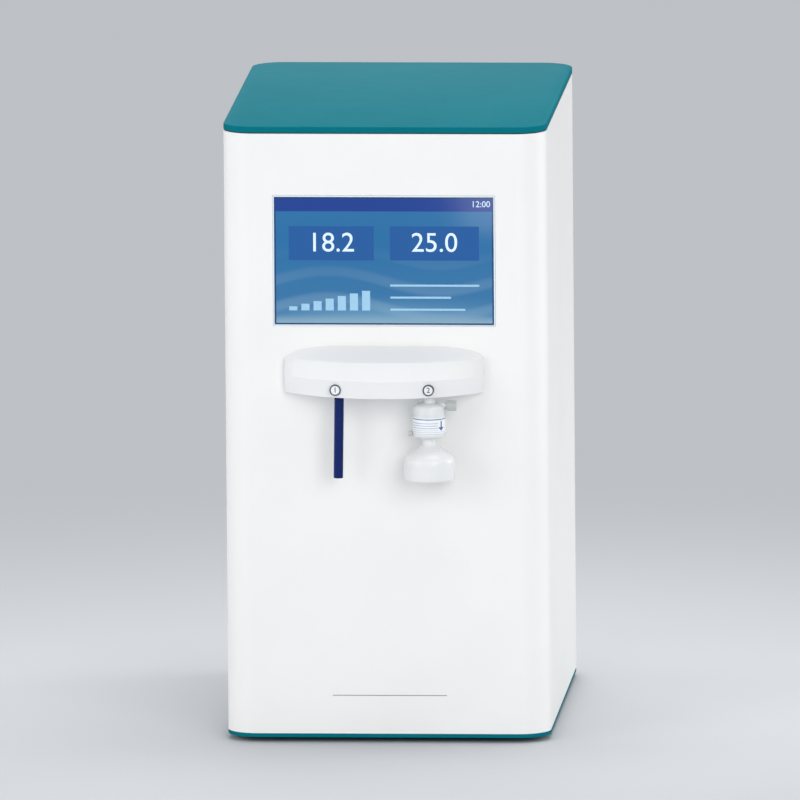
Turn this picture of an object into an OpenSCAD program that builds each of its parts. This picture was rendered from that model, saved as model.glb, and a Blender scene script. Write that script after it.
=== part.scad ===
// Bench-top ultrapure water system: a tall cabinet with a hinged lid, a wide
// colour display, a bowed dispense hood with two push buttons, an outlet hose
// and a capsule filter with a bell. Millimetres, +Z up, the front faces -Y.

/* [Cabinet] */
// Width of the cabinet
body_w = 320; // [310:1:360]
// Depth of the cabinet, without the hood and the rear fittings
body_d = 440; // [430:1:500]
// Height from the underside of the base plate to the top of the lid
body_h = 610; // [605:1:680]
// Radius of the upright corners, seen from above
corner_r = 31; // [22:1:36]
// Thickness of the fascia and the panels
wall_t = 3; // [2.4:0.1:4]
// Height of the lid's edge
lid_t = 6; // [5:0.5:9]
// Height of the base plate's edge
base_t = 4; // [3:0.5:8]
// Gap between the lid and the panels, which the gasket nearly fills
lid_seam = 1; // [0.8:0.1:2]
// How far the fascia and the rear panel reach round the corners
corner_return = 36; // [37:1:42]
// Width of the seams between the panels
seam_gap = 0.6; // [0.3:0.1:1]
// Depth of the rim under the lid that centres it in the cabinet
lid_rim_h = 8; // [5:1:12]
// Thickness of that rim
lid_rim_t = 2.5; // [2:0.1:4]
// Gap between that rim and the panels
lid_rim_gap = 1; // [0.8:0.1:2]

/* [Feet] */
// Height of the rubber feet
foot_h = 5; // [4:0.5:10]
// Radius of the rubber feet
foot_r = 14; // [10:1:18]
// Distance of the feet from the cabinet's sides
foot_inset = 52; // [45:1:70]

/* [Frame] */
// Width of the square posts and rails
post_w = 15; // [12:1:18]
// Height of the cartridge shelf's top above the base plate's underside
shelf_h = 170; // [165:1:190]
// Thickness of the shelf
shelf_t = 2; // [1.5:0.5:3]

/* [Lid hinge] */
// Outer radius of the hinge barrels
hinge_r = 3.5; // [3:0.1:4.5]
// Radius of the hinge pins
hinge_pin_r = 1.5; // [1.2:0.1:1.8]
// Running clearance round the hinge pins
hinge_fit = 0.05; // [0.02:0.01:0.1]
// Length of one barrel
knuckle_l = 16; // [12:1:20]
// Gap between the barrels, and between a barrel and the panel
knuckle_gap = 0.3; // [0.2:0.05:0.5]
// Thickness of the hinge leaves
leaf_t = 1.5; // [1:0.1:2]
// Height of the leaf on the rear panel
leaf_h = 24; // [18:1:30]
// Distance of each hinge from the cabinet's side
hinge_inset = 65; // [55:1:90]

/* [Display] */
// Width of the display glass
glass_w = 216.6; // [200:0.1:230]
// Height of the display glass
glass_h = 127; // [115:0.5:135]
// Thickness of the display glass
glass_t = 1.8; // [1.2:0.1:2.5]
// Distance of the display's upper edge from the top of the lid
glass_drop = 70; // [60:1:80]
// Width of the thin bezel round the glass
bezel_w = 1.6; // [1.2:0.1:4]
// How far the bezel stands out of the fascia
bezel_out = 0.4; // [0.2:0.1:1]
// Width of the bezel's flange behind the fascia
bezel_flange = 6; // [4:1:10]
// Depth of the display module
lcd_t = 9; // [6:1:14]
// Gap between the bezel and its cut-out
bezel_gap = 0.2; // [0.1:0.1:0.5]

/* [Dispense hood] */
// Half the width of the hood
hood_half_w = 99.5; // [90:0.5:110]
// How far the middle of the hood stands out
hood_out = 52; // [46:1:60]
// How far its ends stand out
hood_end = 6; // [4:1:10]
// Distance of the hood's lower edge below the display's lower edge
hood_drop = 66.3; // [62:0.1:72]
// Height of the hood, from its lower edge to its top
hood_h = 44.8; // [42:0.1:50]
// Height of the upright band at the bottom
hood_band_h = 16.8; // [15:0.1:20]
// Height of the ridge between the two slopes
hood_ridge_h = 33.3; // [28:0.1:36]
// How far that ridge stands out
hood_ridge_out = 36.5; // [30:0.5:42]
// Wall thickness of the hood
hood_t = 2.5; // [2:0.1:3.2]
// Thickness of the plate that closes the hood from below
under_t = 2; // [1.5:0.1:3]
// Gap round that plate
under_gap = 0.2; // [0.1:0.1:0.5]

/* [Dispense buttons] */
// Distance of each button from the middle
button_x = 46; // [40:0.5:55]
// Height of the buttons above the hood's lower edge
button_z = 7.7; // [7.7:0.1:9.5]
// Radius of the button caps
button_r = 4.4; // [4:0.1:4.8]
// Running clearance round the caps
button_fit = 0.06; // [0.02:0.01:0.1]
// Width of the ring round each cap
ring_w = 1.15; // [0.8:0.05:1.6]
// Length of the ring round each cap
ring_l = 4.5; // [4:0.1:5]
// Radius of the button stems
stem_r = 1.6; // [1.2:0.1:2]
// Travel of the buttons
button_travel = 1.5; // [0.8:0.1:2]

/* [Outlet hose] */
// Outer radius of the hose
hose_r = 4.75; // [4:0.05:5.5]
// How far the outlets stand in front of the fascia
outlet_out = 27.5; // [27:0.5:28.5]

/* [Capsule filter] */
// Distance of the capsule's axis from the middle
capsule_x = 45.4; // [40:0.1:52]
// Radius of the capsule
capsule_r = 15.8; // [14:0.1:18]
// Height of the capsule's straight part
capsule_h = 25; // [20:1:30]
// Radius of the capsule's inlet neck
capsule_neck_r = 6; // [5:0.1:6.2]
// Radius of its lower flange
capsule_flange_r = 16.2; // [16:0.1:18]
// Wall thickness of the capsule
capsule_t = 1.8; // [1.2:0.1:2.4]
// Radius of the bell's skirt
bell_r = 25.3; // [22:0.1:26.5]
// Height of the bell's skirt
bell_h = 24; // [18:1:30]
// Radius of the bell's neck
bell_neck_r = 6.4; // [5.5:0.1:7.5]
// Wall thickness of the bell
bell_t = 1.6; // [1.2:0.1:2.4]
// Radius of the vent valve's knob
vent_r = 5; // [4:0.1:6]
// Length of the vent valve's knob
vent_l = 9.6; // [8:0.1:12]
// Radius of the vent valve's stem
vent_stem_r = 1.6; // [1.2:0.1:2]
// Running clearance round that stem
vent_fit = 0.05; // [0.02:0.01:0.1]

/* [Fan] */
// Side of the square fan
fan_w = 80; // [70:1:92]
// Depth of the fan
fan_t = 25; // [20:1:32]
// Wall between the fan's duct and its sides
fan_rim = 2; // [1.5:0.1:3]
// Radius of the fan's hub
fan_hub_r = 17; // [14:1:20]
// Gap between the blades and the duct
fan_tip_gap = 1; // [0.8:0.1:2]
// Distance of the fan's centre from the top of the lid
fan_drop = 140; // [120:1:170]
// Number of blades
fan_blades = 7; // [5:1:9]
// Radius of the fan's shaft
fan_shaft_r = 2; // [1.5:0.1:3]
// Running clearance round the shaft
fan_fit = 0.05; // [0.02:0.01:0.1]

/* [Rear fittings] */
// Outer radius of the water tubes
tube_r = 3.175; // [2.5:0.005:4]
// Clearance of a tube in its port
port_fit = 0.03; // [0.02:0.01:0.1]
// Outer radius of the water ports
port_r = 8; // [7:0.1:10]
// How far the water ports stand out
port_out = 16; // [14:1:22]
// Depth of the blind bore in a port
port_bore_l = 18; // [15:1:24]
// How far the ports' collets stand out of the ports
collet_out = 4; // [3:0.5:6]
// Height of the ports above the base plate's underside
port_z = 60; // [45:1:90]
// Distance of the outermost port from the cabinet's side
port_inset = 40; // [36:1:50]
// Distance of the power inlet's middle from the other side
inlet_inset = 55; // [50:1:70]
// Distance between the ports
port_step = 32; // [26:1:36]
// Radius of the rocker's axle
rocker_pin_r = 1.5; // [1.2:0.1:1.8]
// Running clearance round that axle
rocker_fit = 0.05; // [0.02:0.01:0.1]
// Half of the rocker's swing, in degrees
rocker_tilt = 9; // [6:1:12]

/* [Insides] */
// Radius of the two prefilters
prefilter_r = 32; // [26:1:35]
// Room between the prefilters' heads and the lid
prefilter_room = 144; // [120:1:190]
// Radius of the reverse osmosis vessel
ro_r = 38; // [32:1:40]
// Room between that vessel's head and the lid
ro_room = 104; // [90:1:150]
// Radius of the two polishing packs
pack_r = 45; // [38:1:48]
// Room between the packs' heads and the lid
pack_room = 84; // [70:1:130]
// Radius of the ultraviolet lamp's housing
uv_r = 28; // [24:1:32]
// Room between that housing's head and the lid
uv_room = 124; // [105:1:170]
// Height of every filter head
head_h = 18; // [14:1:24]
// Radius of the booster pump's motor
pump_r = 38; // [30:1:44]
// Length of that motor
pump_l = 110; // [90:1:130]
// Radius of the recirculation pump
recirc_r = 30; // [24:1:34]
// Length of the recirculation pump
recirc_l = 70; // [60:1:80]
// Width of the power supply
psu_w = 100; // [80:1:110]
// Length of the power supply
psu_l = 190; // [150:1:200]
// Height of the power supply
psu_h = 50; // [38:1:60]
// Width of the control board
board_w = 170; // [140:1:190]
// Height of the control board
board_h = 104; // [90:1:115]
// Thickness of the control board
board_t = 1.6; // [1:0.2:2.4]
// Length of the board's standoffs
standoff_l = 8; // [6:1:12]
// Thickness of the bracket behind the display
bracket_t = 1.5; // [1:0.1:2.5]
// Radius of the wires
wire_r = 1.5; // [1:0.1:2]

/* [Hidden] */
$fn = 64;
eps = 0.01;

// What stands out of the cabinet in front and behind
front_reach = max(hood_out, outlet_out + bell_r);
rear_reach = port_out + collet_out;
// The cabinet's faces, so that the whole object is centred on the origin
front_y = front_reach - (body_d + front_reach + rear_reach) / 2;
rear_y = front_y + body_d;
mid_y = (front_y + rear_y) / 2;
base_z = foot_h;
base_top = base_z + base_t;
lid_top = base_z + body_h;
lid_z = lid_top - lid_t;
panel_top = lid_z - lid_seam;
lid_skin = lid_t / 2;
inner_x = body_w / 2 - wall_t;
glass_z = body_h - glass_drop - glass_h;
hood_z = glass_z - hood_drop;
fan_z = body_h - fan_drop;

// Chassis
post_x = inner_x - post_w / 2;
post_front = front_y + corner_r + post_w / 2;
post_back = rear_y - corner_r - post_w / 2;
post_top = panel_top - lid_rim_h - 2;
shelf_top = base_z + shelf_h;
rail_levels = [base_top, shelf_top - shelf_t - post_w, post_top - post_w];
tab_w = 12;
tab_x = body_w / 2 - corner_r - tab_w / 2;
screw_r = 2;
screw_fit = 0.05;
screw_head_r = 3.6;
screw_head_h = 2.2;
screw_l = 10;

// Lid hinge
hinge_y = rear_y + knuckle_gap + hinge_r;
hinge_x = body_w / 2 - hinge_inset;
outer_l = knuckle_l * 0.75;
hinge_l = knuckle_l + 2 * (knuckle_gap + outer_l);
leaf_clear = 0.5;

// Display
glass_gap = 0.1;
lip_w = 2;
flange_t = 1.5;
screen_z = base_z + glass_z + glass_h / 2;
lcd_y = front_y + wall_t + flange_t;
lcd_edge = 4;
bracket_y = lcd_y + lcd_t;
boss_r = 4;
boss_x = glass_w / 2 + bezel_w + bezel_flange + boss_r + 1;
boss_z = glass_h / 2 - 10;
board_y = bracket_y + bracket_t + standoff_l;

// Hood
hood_low = base_z + hood_z;
bow_steps = 16;
slice_t = 0.1;
hood_draft = 1.5;
hood_top_in = 42;
hood_crown_in = 13;
hood_crown_h = 4;
hood_crown_out = 11;
under_z = hood_low;
under_top = under_z + under_t;
duct_w = 110;
duct_h = 22;
duct_z = hood_low + 10;

// Buttons: the caps' faces stand just proud of the bow at the buttons' places
button_height = hood_low + button_z;
ring_r = button_r + button_fit + ring_w;
band_arc = bow_r(hood_out, hood_half_w, hood_end);
button_face = bow_y(hood_out, band_arc, button_x - ring_r) + 0.8;
cap_flange_gap = 0.3;
button_l = ring_l + cap_flange_gap;
flange_l = 1.2;
flange_grow = 0.8;
spring_l = button_travel + 1;
stem_l = spring_l - button_travel - 0.3;
switch_w = 12;
switch_t = 2.6;
switch_y = front_y - button_face + button_l + flange_l + spring_l;

// Outlets
outlet_y = front_y - outlet_out;
hose_x = -43.5;
hose_hole_gap = 0.4;
fitting_wall = 1.6;
fitting_h = 10;
nozzle_h = 3;
nozzle_top = under_top + fitting_h + nozzle_h;
socket_h = 8;
socket_gap = 0.1;
hose_top = under_top + socket_h;
hose_route = [
    [0, 0, 0], [0, 0, -14], [-0.2, 0, -30], [-0.5, 0, -46],
    [-0.8, 0, -62], [-1.1, 0.2, -77], [-1.4, 0.5, -92.5]
];

// Capsule, from its inlet down
shoulder_h = 4.4;
neck_top = under_top + 10;
neck_low = hood_low - 6.7;
body_top = neck_low - shoulder_h;
body_low = body_top - capsule_h;
flange_low = body_low - 5;
neck_gap = 0.1;
spigot_r = bell_neck_r - bell_t - neck_gap;
spigot_l = 10;
bell_neck_h = 8;
bell_shoulder_h = 10;
bell_top = flange_low;
skirt_top = bell_top - bell_neck_h - bell_shoulder_h;
skirt_low = skirt_top - bell_h;
label_h = 15.6;
label_t = 0.3;
vent_z = neck_low - 3.4;
vent_out = capsule_r + 1.2;
vent_boss_r = 3.4;
vent_gap = 0.3;
vent_stem_l = 6;
plug_r = 2.6;
plug_l = 4;
plug_z = flange_low + 3.2;

// Fan
fan_y = rear_y - wall_t;
fan_height = base_z + fan_z;
fan_bore_r = fan_w / 2 - fan_rim;
guard_wire = 0.9;
guard_rings = 4;

// Rear fittings
inlet_w = 47;
inlet_h = 27;
inlet_x = body_w / 2 - inlet_inset;
inlet_z = base_z + 55;
inlet_body_w = 27;
inlet_body_h = 20;
inlet_depth = 22;
socket_w = 24.5;
socket_tall = 16.5;
plate_t = 2;
rocker_w = 13;
rocker_h = 19;
rocker_x = inlet_x - 45;
rocker_z = inlet_z;
rocker_r = 11;
ports_x = [for (i = [0:2]) port_inset - body_w / 2 + i * port_step];
port_height = base_z + port_z;
port_nut_t = 5;
port_inside = 14;
port_end_y = rear_y - wall_t - port_inside;

// Places of the things that stand on the shelf
prefilter_h = lid_z - shelf_top - prefilter_room;
ro_h = lid_z - shelf_top - ro_room;
pack_h = lid_z - shelf_top - pack_room;
uv_h = lid_z - shelf_top - uv_room;
right_x = body_w * 0.30625;
left_x = -right_x;
pre_places = [[left_x, mid_y + body_d * 0.268], [left_x, mid_y + body_d * 0.0955]];
ro_place = [left_x, mid_y - body_d * 0.0864];
pack_places = [[0, mid_y + body_d * 0.209], [0, mid_y - body_d * 0.0273]];
uv_place = [right_x, mid_y + body_d * 0.2455];
port_dx = 14;
stub_r = 4.5;
stub_h = 10;
head_grow = 2;
manifold_place = [right_x, mid_y + body_d * 0.0182];
manifold_w = 44;
manifold_l = 96;
manifold_h = 24;
valve_w = 22;
valve_h = 46;
valve_step = 31;
cell_place = [right_x, mid_y - body_d * 0.1773];
cell_r = 13;
cell_h = 70;
uv_lamp_r = 9;
shelf_hole_r = 9;
shelf_hole_gap = 6;
shelf_hole_step = 24;
beside_ro = left_x + ro_r + shelf_hole_gap;
shelf_holes = [[beside_ro, mid_y - 76], [beside_ro + shelf_hole_step, mid_y - 76], [52, mid_y - 76], [52, mid_y + 40]];
plinth_t = 3;

// Bottom bay
pump_x = -body_w * 0.2625;
pump_y = mid_y + 10;
pump_z = base_top + plinth_t + pump_r;
pump_head_l = 42;
pump_head_w = 74;
pump_stub_x = 20;
recirc_y = mid_y - body_d * 0.318;
recirc_z = base_top + plinth_t + recirc_r;
recirc_stub_y = 22;
psu_x = body_w * 0.21875;
psu_y = mid_y + 10;
psu_foot = 2;

// ---- Functions ----

// Radius of the arc through the bow's middle and its two ends
function bow_r(out, half_w, end) =
    (pow(out - end, 2) + half_w * half_w) / (2 * (out - end));
// How far the bow stands out at the distance x from its middle
function bow_y(out, r, x) = out - r + sqrt(r * r - x * x);
// Outline of a bow, seen from above, from the plane y = back outwards
function bow_outline(out, half_w, end, back) = [
    [-half_w, back],
    for (i = [-bow_steps:bow_steps])
        [half_w * i / bow_steps,
         -bow_y(out, bow_r(out, half_w, end), half_w * i / bow_steps)],
    [half_w, back]
];

function unit(v) = v / norm(v);
// Point on a smooth curve through p1 and p2
function curve_at(p0, p1, p2, p3, t) =
    0.5 * (2 * p1 + (p2 - p0) * t + (2 * p0 - 5 * p1 + 4 * p2 - p3) * t * t
        + (3 * p1 - p0 - 3 * p2 + p3) * t * t * t);
// Smooth curve through all points of a route, with straight ends
function smooth(route, steps) = let (n = len(route)) [
    route[0],
    for (i = [1:n - 3])
        for (k = [0:steps - 1])
            curve_at(route[i - 1], route[i], route[i + 1], route[i + 2], k / steps),
    route[n - 2],
    route[n - 1]
];
// Direction of a path at its point i
function path_dir(path, i) =
    unit(path[min(i + 1, len(path) - 1)] - path[max(i - 1, 0)]);
// A vector square to d, as near as can be to v
function square_to(v, d) = unit(v - (v * d) * d);
// Side vectors along a path that don't twist
function path_sides(path) = let (
    d0 = path_dir(path, 0),
    start = abs(d0[0]) < 0.9 ? [1, 0, 0] : [0, 1, 0]
) [
    for (i = 0, s = square_to(start, d0); i < len(path);
         i = i + 1, s = i < len(path) ? square_to(s, path_dir(path, i)) : s) s
];
// Route of a tube that rises from a, crosses over and comes down on b
function arch(a, b, rise) = [
    a,
    a + [0, 0, rise * 0.45],
    a + (b - a) * 0.2 + [0, 0, rise * 0.9 - (b - a)[2] * 0.2 + max(0, (b - a)[2])],
    (a + b) / 2 + [0, 0, rise + abs((b - a)[2]) / 2],
    b - (b - a) * 0.2 + [0, 0, rise * 0.9 + (b - a)[2] * 0.2 + max(0, (a - b)[2])],
    b + [0, 0, rise * 0.45],
    b
];
// Tops of the two ports of a filter at a place, with its height
function port_top(place, h, side) =
    [place[0] + side * port_dx, place[1], shelf_top + h + stub_h];

// ---- Helpers ----

// Rectangle with round corners, centred
module round_rect(w, d, r) {
    square([w - 2 * r, d], center = true);
    square([w, d - 2 * r], center = true);
    for (x = [-1, 1], y = [-1, 1])
        translate([x * (w / 2 - r), y * (d / 2 - r)])
            circle(r);
}

// The cabinet's outline, seen from above, drawn in by a distance
module cabinet_plan(inset) {
    translate([0, mid_y])
        round_rect(body_w - 2 * inset, body_d - 2 * inset, corner_r - inset);
}

// Upright stretch of the cabinet's wall between two distances from the front
module wall_stretch(y0, y1, x0, x1) {
    translate([0, 0, base_top])
        linear_extrude(panel_top - base_top)
            intersection() {
                difference() {
                    cabinet_plan(0);
                    cabinet_plan(wall_t);
                }
                translate([x0, y0])
                    square([x1 - x0, y1 - y0]);
            }
}

// Tube swept along a path of points
module tube_along(path, r, sides) {
    dirs = [for (i = [0:len(path) - 1]) path_dir(path, i)];
    sidev = path_sides(path);
    points = [
        for (i = [0:len(path) - 1])
            for (k = [0:sides - 1])
                path[i] + r * (cos(360 * k / sides) * sidev[i]
                    + sin(360 * k / sides) * cross(dirs[i], sidev[i]))
    ];
    rings = len(path);
    faces = concat(
        [[for (k = [0:sides - 1]) sides - 1 - k]],
        [for (i = [0:rings - 2], k = [0:sides - 1])
            [i * sides + k, i * sides + (k + 1) % sides,
             (i + 1) * sides + (k + 1) % sides]],
        [for (i = [0:rings - 2], k = [0:sides - 1])
            [i * sides + k, (i + 1) * sides + (k + 1) % sides,
             (i + 1) * sides + k]],
        [[for (k = [0:sides - 1]) (rings - 1) * sides + k]]
    );
    // The faces wind outwards when seen against the path's direction
    polyhedron([for (p = points) p], [for (f = faces) [for (k = [len(f) - 1:-1:0]) f[k]]]);
}

module water_tube(route) {
    tube_along(smooth(route, 4), tube_r, 8);
}

module wire(route) {
    tube_along(smooth(route, 3), wire_r, 6);
}

// Cylinder that lies along X, Y or Z from a point
module rod(from, along, r, l) {
    turn = along == "x" ? [0, 90, 0] : along == "y" ? [-90, 0, 0] : [0, 0, 0];
    translate(from)
        rotate(turn)
            cylinder(r = r, h = l);
}

// Box given by its lowest corner and its size
module block(from, size) {
    translate(from)
        cube(size);
}

// ---- Cabinet ----

module base_plate() {
    color("#2f8f95")
        translate([0, 0, base_z])
            linear_extrude(base_t)
                cabinet_plan(0);
}

module rubber_feet() {
    color("#26282b")
        for (x = [-1, 1], y = [-1, 1])
            translate([x * (body_w / 2 - foot_inset), mid_y + y * (body_d / 2 - foot_inset), 0])
                cylinder(r1 = foot_r - 1.5, r2 = foot_r, h = foot_h);
}

module post(x, y) {
    block([x - post_w / 2, y - post_w / 2, base_top], [post_w, post_w, post_top - base_top]);
}

// Tab between a cross rail and the panel in front of it or behind it
module rail_tab(x, y0, y1, z) {
    block([x - tab_w / 2, y0, z], [tab_w, y1 - y0, post_w]);
}

module chassis_frame() {
    rear_face = rear_y - wall_t;
    front_face = front_y + wall_t;
    color("#c9ccd0")
        difference() {
            union() {
                for (x = [-post_x, post_x], y = [post_front, post_back])
                    post(x, y);
                for (z = rail_levels, y = [post_front, post_back])
                    block([-post_x, y - post_w / 2, z], [2 * post_x, post_w, post_w]);
                for (x = [-post_x, post_x], z = [rail_levels[0], rail_levels[2]])
                    block([x - post_w / 2, post_front, z], [post_w, post_back - post_front, post_w]);
                block([-post_x, mid_y - post_w / 2, rail_levels[1]], [2 * post_x, post_w, post_w]);
                for (x = [-post_x, post_x])
                    block([x - post_w / 2, post_front, rail_levels[1]],
                          [post_w, post_back - post_front, post_w]);
                for (x = [-tab_x, tab_x], z = rail_levels) {
                    rail_tab(x, post_back, rear_face, z);
                    rail_tab(x, front_face, post_front, z);
                }
            }
            for (x = [-tab_x, tab_x], z = rail_levels)
                rod([x, rear_face - screw_l, z + post_w / 2], "y", screw_r + screw_fit, screw_l + 1);
        }
}

module cartridge_shelf() {
    half = post_x - post_w / 2 - 1;
    y0 = post_front - post_w / 2;
    y1 = post_back + post_w / 2;
    color("#d5d7da")
        difference() {
            block([-half, y0, shelf_top - shelf_t], [2 * half, y1 - y0, shelf_t]);
            for (h = shelf_holes)
                translate([h[0], h[1], shelf_top - shelf_t - 1])
                    cylinder(r = shelf_hole_r, h = shelf_t + 2);
        }
}

module front_fascia() {
    far = front_y + corner_return;
    cut_w = glass_w + 2 * (bezel_w + bezel_gap);
    cut_h = glass_h + 2 * (bezel_w + bezel_gap);
    color("#f4f5f5")
        difference() {
            union() {
                wall_stretch(front_y - 1, far, -body_w, body_w);
                for (x = [-boss_x, boss_x], z = [-boss_z, boss_z])
                    rod([x, front_y + wall_t - eps, screen_z + z], "y", boss_r,
                        bracket_y - front_y - wall_t + eps);
            }
            block([-cut_w / 2, front_y - 1, screen_z - cut_h / 2], [cut_w, wall_t + 2, cut_h]);
            block([-duct_w / 2, front_y - 1, duct_z], [duct_w, wall_t + 2, duct_h]);
        }
}

module side_panel(x0, x1) {
    wall_stretch(front_y + corner_return + seam_gap, rear_y - corner_return - seam_gap, x0, x1);
}

module left_side_panel() {
    color("#f2f3f3")
        side_panel(-body_w, 0);
}

module right_side_panel() {
    color("#f2f3f3")
        side_panel(0, body_w);
}

module rear_panel() {
    color("#eceded")
        difference() {
            wall_stretch(rear_y - corner_return, rear_y + 1, -body_w, body_w);
            rod([0, rear_y - wall_t - 1, fan_height], "y", fan_bore_r, wall_t + 2);
            for (x = ports_x)
                rod([x, rear_y - wall_t - 1, port_height], "y", port_r - 2 + port_fit, wall_t + 2);
            block([inlet_x - inlet_body_w / 2 - 0.2, rear_y - wall_t - 1, inlet_z - inlet_body_h / 2 - 0.2],
                  [inlet_body_w + 0.4, wall_t + 2, inlet_body_h + 0.4]);
            block([rocker_x - rocker_w / 2 - 1.7, rear_y - wall_t - 1, rocker_z - rocker_h / 2 - 1.7],
                  [rocker_w + 3.4, wall_t + 2, rocker_h + 3.4]);
            for (x = [-tab_x, tab_x], z = rail_levels)
                rod([x, rear_y - wall_t - 1, z + post_w / 2], "y", screw_r + screw_fit, wall_t + 2);
        }
}

module case_screws() {
    color("#8d9094")
        for (x = [-tab_x, tab_x], z = rail_levels) {
            rod([x, rear_y - wall_t - screw_l + 1, z + post_w / 2], "y", screw_r,
                screw_l + wall_t - 1 + eps);
            difference() {
                rod([x, rear_y, z + post_w / 2], "y", screw_head_r, screw_head_h);
                for (a = [0, 90])
                    translate([x, rear_y + screw_head_h, z + post_w / 2])
                        rotate([0, a, 0])
                            cube([3.6, 2, 0.7], center = true);
            }
        }
}

// ---- Lid and its hinges ----

module lid() {
    rim_in = wall_t + lid_rim_gap;
    color("#1f8c97")
        union() {
            translate([0, 0, lid_z])
                difference() {
                    linear_extrude(lid_t)
                        cabinet_plan(0);
                    translate([0, 0, -1])
                        linear_extrude(lid_t - lid_skin + 1)
                            cabinet_plan(rim_in + lid_rim_t);
                }
            translate([0, 0, lid_z - lid_rim_h])
                linear_extrude(lid_rim_h + 1)
                    difference() {
                        cabinet_plan(rim_in);
                        cabinet_plan(rim_in + lid_rim_t);
                    }
        }
}

module lid_gasket() {
    gasket_h = lid_seam - 0.3;
    color("#3a3d40")
        translate([0, 0, lid_z - gasket_h])
            linear_extrude(gasket_h)
                difference() {
                    cabinet_plan(0.7);
                    cabinet_plan(wall_t);
                }
}

module hinge_rear_leaves() {
    leaf_y = rear_y - hinge_y;
    color("#b9bcc0")
        for (side = [-1, 1])
            translate([side * hinge_x, hinge_y, lid_z])
                difference() {
                    union() {
                        for (m = [-1, 1])
                            translate([m * (knuckle_l / 2 + knuckle_gap + outer_l / 2), 0, 0]) {
                                rotate([0, 90, 0])
                                    cylinder(r = hinge_r, h = outer_l, center = true);
                                block([-outer_l / 2, leaf_y, -leaf_h], [outer_l, leaf_t, leaf_h - leaf_clear]);
                            }
                        block([-hinge_l / 2, leaf_y, -leaf_h],
                              [hinge_l, leaf_t, leaf_h - hinge_r - leaf_clear]);
                    }
                    rod([-hinge_l, 0, 0], "x", hinge_pin_r, 2 * hinge_l);
                }
}

module hinge_lid_leaves() {
    leaf_y = rear_y - hinge_y;
    color("#b9bcc0")
        for (side = [-1, 1])
            translate([side * hinge_x, hinge_y, lid_z])
                difference() {
                    union() {
                        rotate([0, 90, 0])
                            cylinder(r = hinge_r, h = knuckle_l, center = true);
                        block([-knuckle_l / 2, leaf_y, 0], [knuckle_l, leaf_t, lid_t - leaf_clear]);
                    }
                    rod([-hinge_l, 0, 0], "x", hinge_pin_r + hinge_fit, 2 * hinge_l);
                }
}

module hinge_pins() {
    color("#d9dbde")
        for (side = [-1, 1])
            rod([side * hinge_x - hinge_l / 2, hinge_y, lid_z], "x", hinge_pin_r, hinge_l);
}

// ---- Display ----

// Box centred on the screen, in the depth range y0 to y1
module screen_box(w, h, y0, y1) {
    block([-w / 2, y0, screen_z - h / 2], [w, y1 - y0, h]);
}

module display_bezel() {
    ring = 2 * bezel_w;
    grip = 2 * (bezel_w + bezel_flange);
    color("#dfeaf0")
        difference() {
            union() {
                screen_box(glass_w + ring, glass_h + ring, front_y - bezel_out, lcd_y);
                screen_box(glass_w + grip, glass_h + grip, front_y + wall_t, lcd_y);
            }
            screen_box(glass_w + 2 * glass_gap, glass_h + 2 * glass_gap,
                       front_y - bezel_out - 1, front_y + glass_t);
            screen_box(glass_w - 2 * lip_w, glass_h - 2 * lip_w, front_y, lcd_y + 1);
        }
}

module display_glass() {
    color("#2f74ad")
        screen_box(glass_w, glass_h, front_y, front_y + glass_t);
}

module lcd_module() {
    color("#9fa4a8")
        screen_box(glass_w + lcd_edge, glass_h + lcd_edge, lcd_y, bracket_y);
}

module display_bracket() {
    color("#c4c7ca")
        difference() {
            screen_box(2 * (boss_x + boss_r), 2 * (boss_z + boss_r), bracket_y, bracket_y + bracket_t);
            screen_box(glass_w * 0.5, glass_h * 0.4, bracket_y - 1, bracket_y + bracket_t + 1);
        }
}

// ---- Dispense hood ----

// Thin slice of the bow at a height, drawn in by a distance
module bow_slice(z, out, half_w, end, inset) {
    translate([0, 0, z])
        linear_extrude(slice_t)
            polygon(bow_outline(out - inset, half_w - inset, max(end - inset, 0.5), inset > 0 ? 1 : 0));
}

// Solid form of the hood, drawn in by a distance
module hood_form(inset) {
    low = inset > 0 ? -1 : 0;
    hull() {
        bow_slice(low, hood_out, hood_half_w - hood_draft, hood_end, inset);
        bow_slice(hood_band_h - inset / 4, hood_out, hood_half_w, hood_end, inset);
        bow_slice(hood_ridge_h - inset / 2, hood_ridge_out, hood_half_w - hood_draft, hood_end, inset);
        bow_slice(hood_h - hood_crown_h - inset, hood_crown_out + inset / 2,
                  hood_half_w - hood_crown_in, 1 + inset, inset);
        bow_slice(hood_h - inset - slice_t, 2 + inset, hood_half_w - hood_top_in, 1 + inset, inset);
    }
}

module dispenser_hood() {
    color("#eceded")
        difference() {
            translate([0, front_y, hood_low])
                difference() {
                    hood_form(0);
                    hood_form(hood_t);
                }
            for (x = [-button_x, button_x])
                rod([x, front_y - hood_out - 1, button_height], "y", ring_r, hood_out / 2);
        }
}

module hood_underplate() {
    inset = hood_t + under_gap;
    color("#e4e5e6")
        difference() {
            translate([0, front_y, under_z])
                linear_extrude(under_t)
                    polygon(bow_outline(hood_out - inset, hood_half_w - hood_draft - inset,
                                        hood_end - inset, 0));
            translate([hose_x, outlet_y, under_z - 1])
                cylinder(r = hose_r + hose_hole_gap, h = under_t + 2);
            translate([capsule_x, outlet_y, under_z - 1])
                cylinder(r = capsule_neck_r + neck_gap, h = under_t + 2);
        }
}

module button_rings() {
    color("#5d6166")
        for (x = [-button_x, button_x])
            difference() {
                rod([x, front_y - button_face, button_height], "y", ring_r, ring_l);
                rod([x, front_y - button_face - 1, button_height], "y", button_r + button_fit, ring_l + 2);
            }
}

// Cap, flange and stem of one button, with its face at the ring's front
module button(x) {
    face_y = front_y - button_face;
    rod([x, face_y, button_height], "y", button_r, button_l + eps);
    rod([x, face_y + button_l, button_height], "y", button_r + flange_grow, flange_l);
    rod([x, face_y + button_l, button_height], "y", stem_r, flange_l + stem_l);
}

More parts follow.
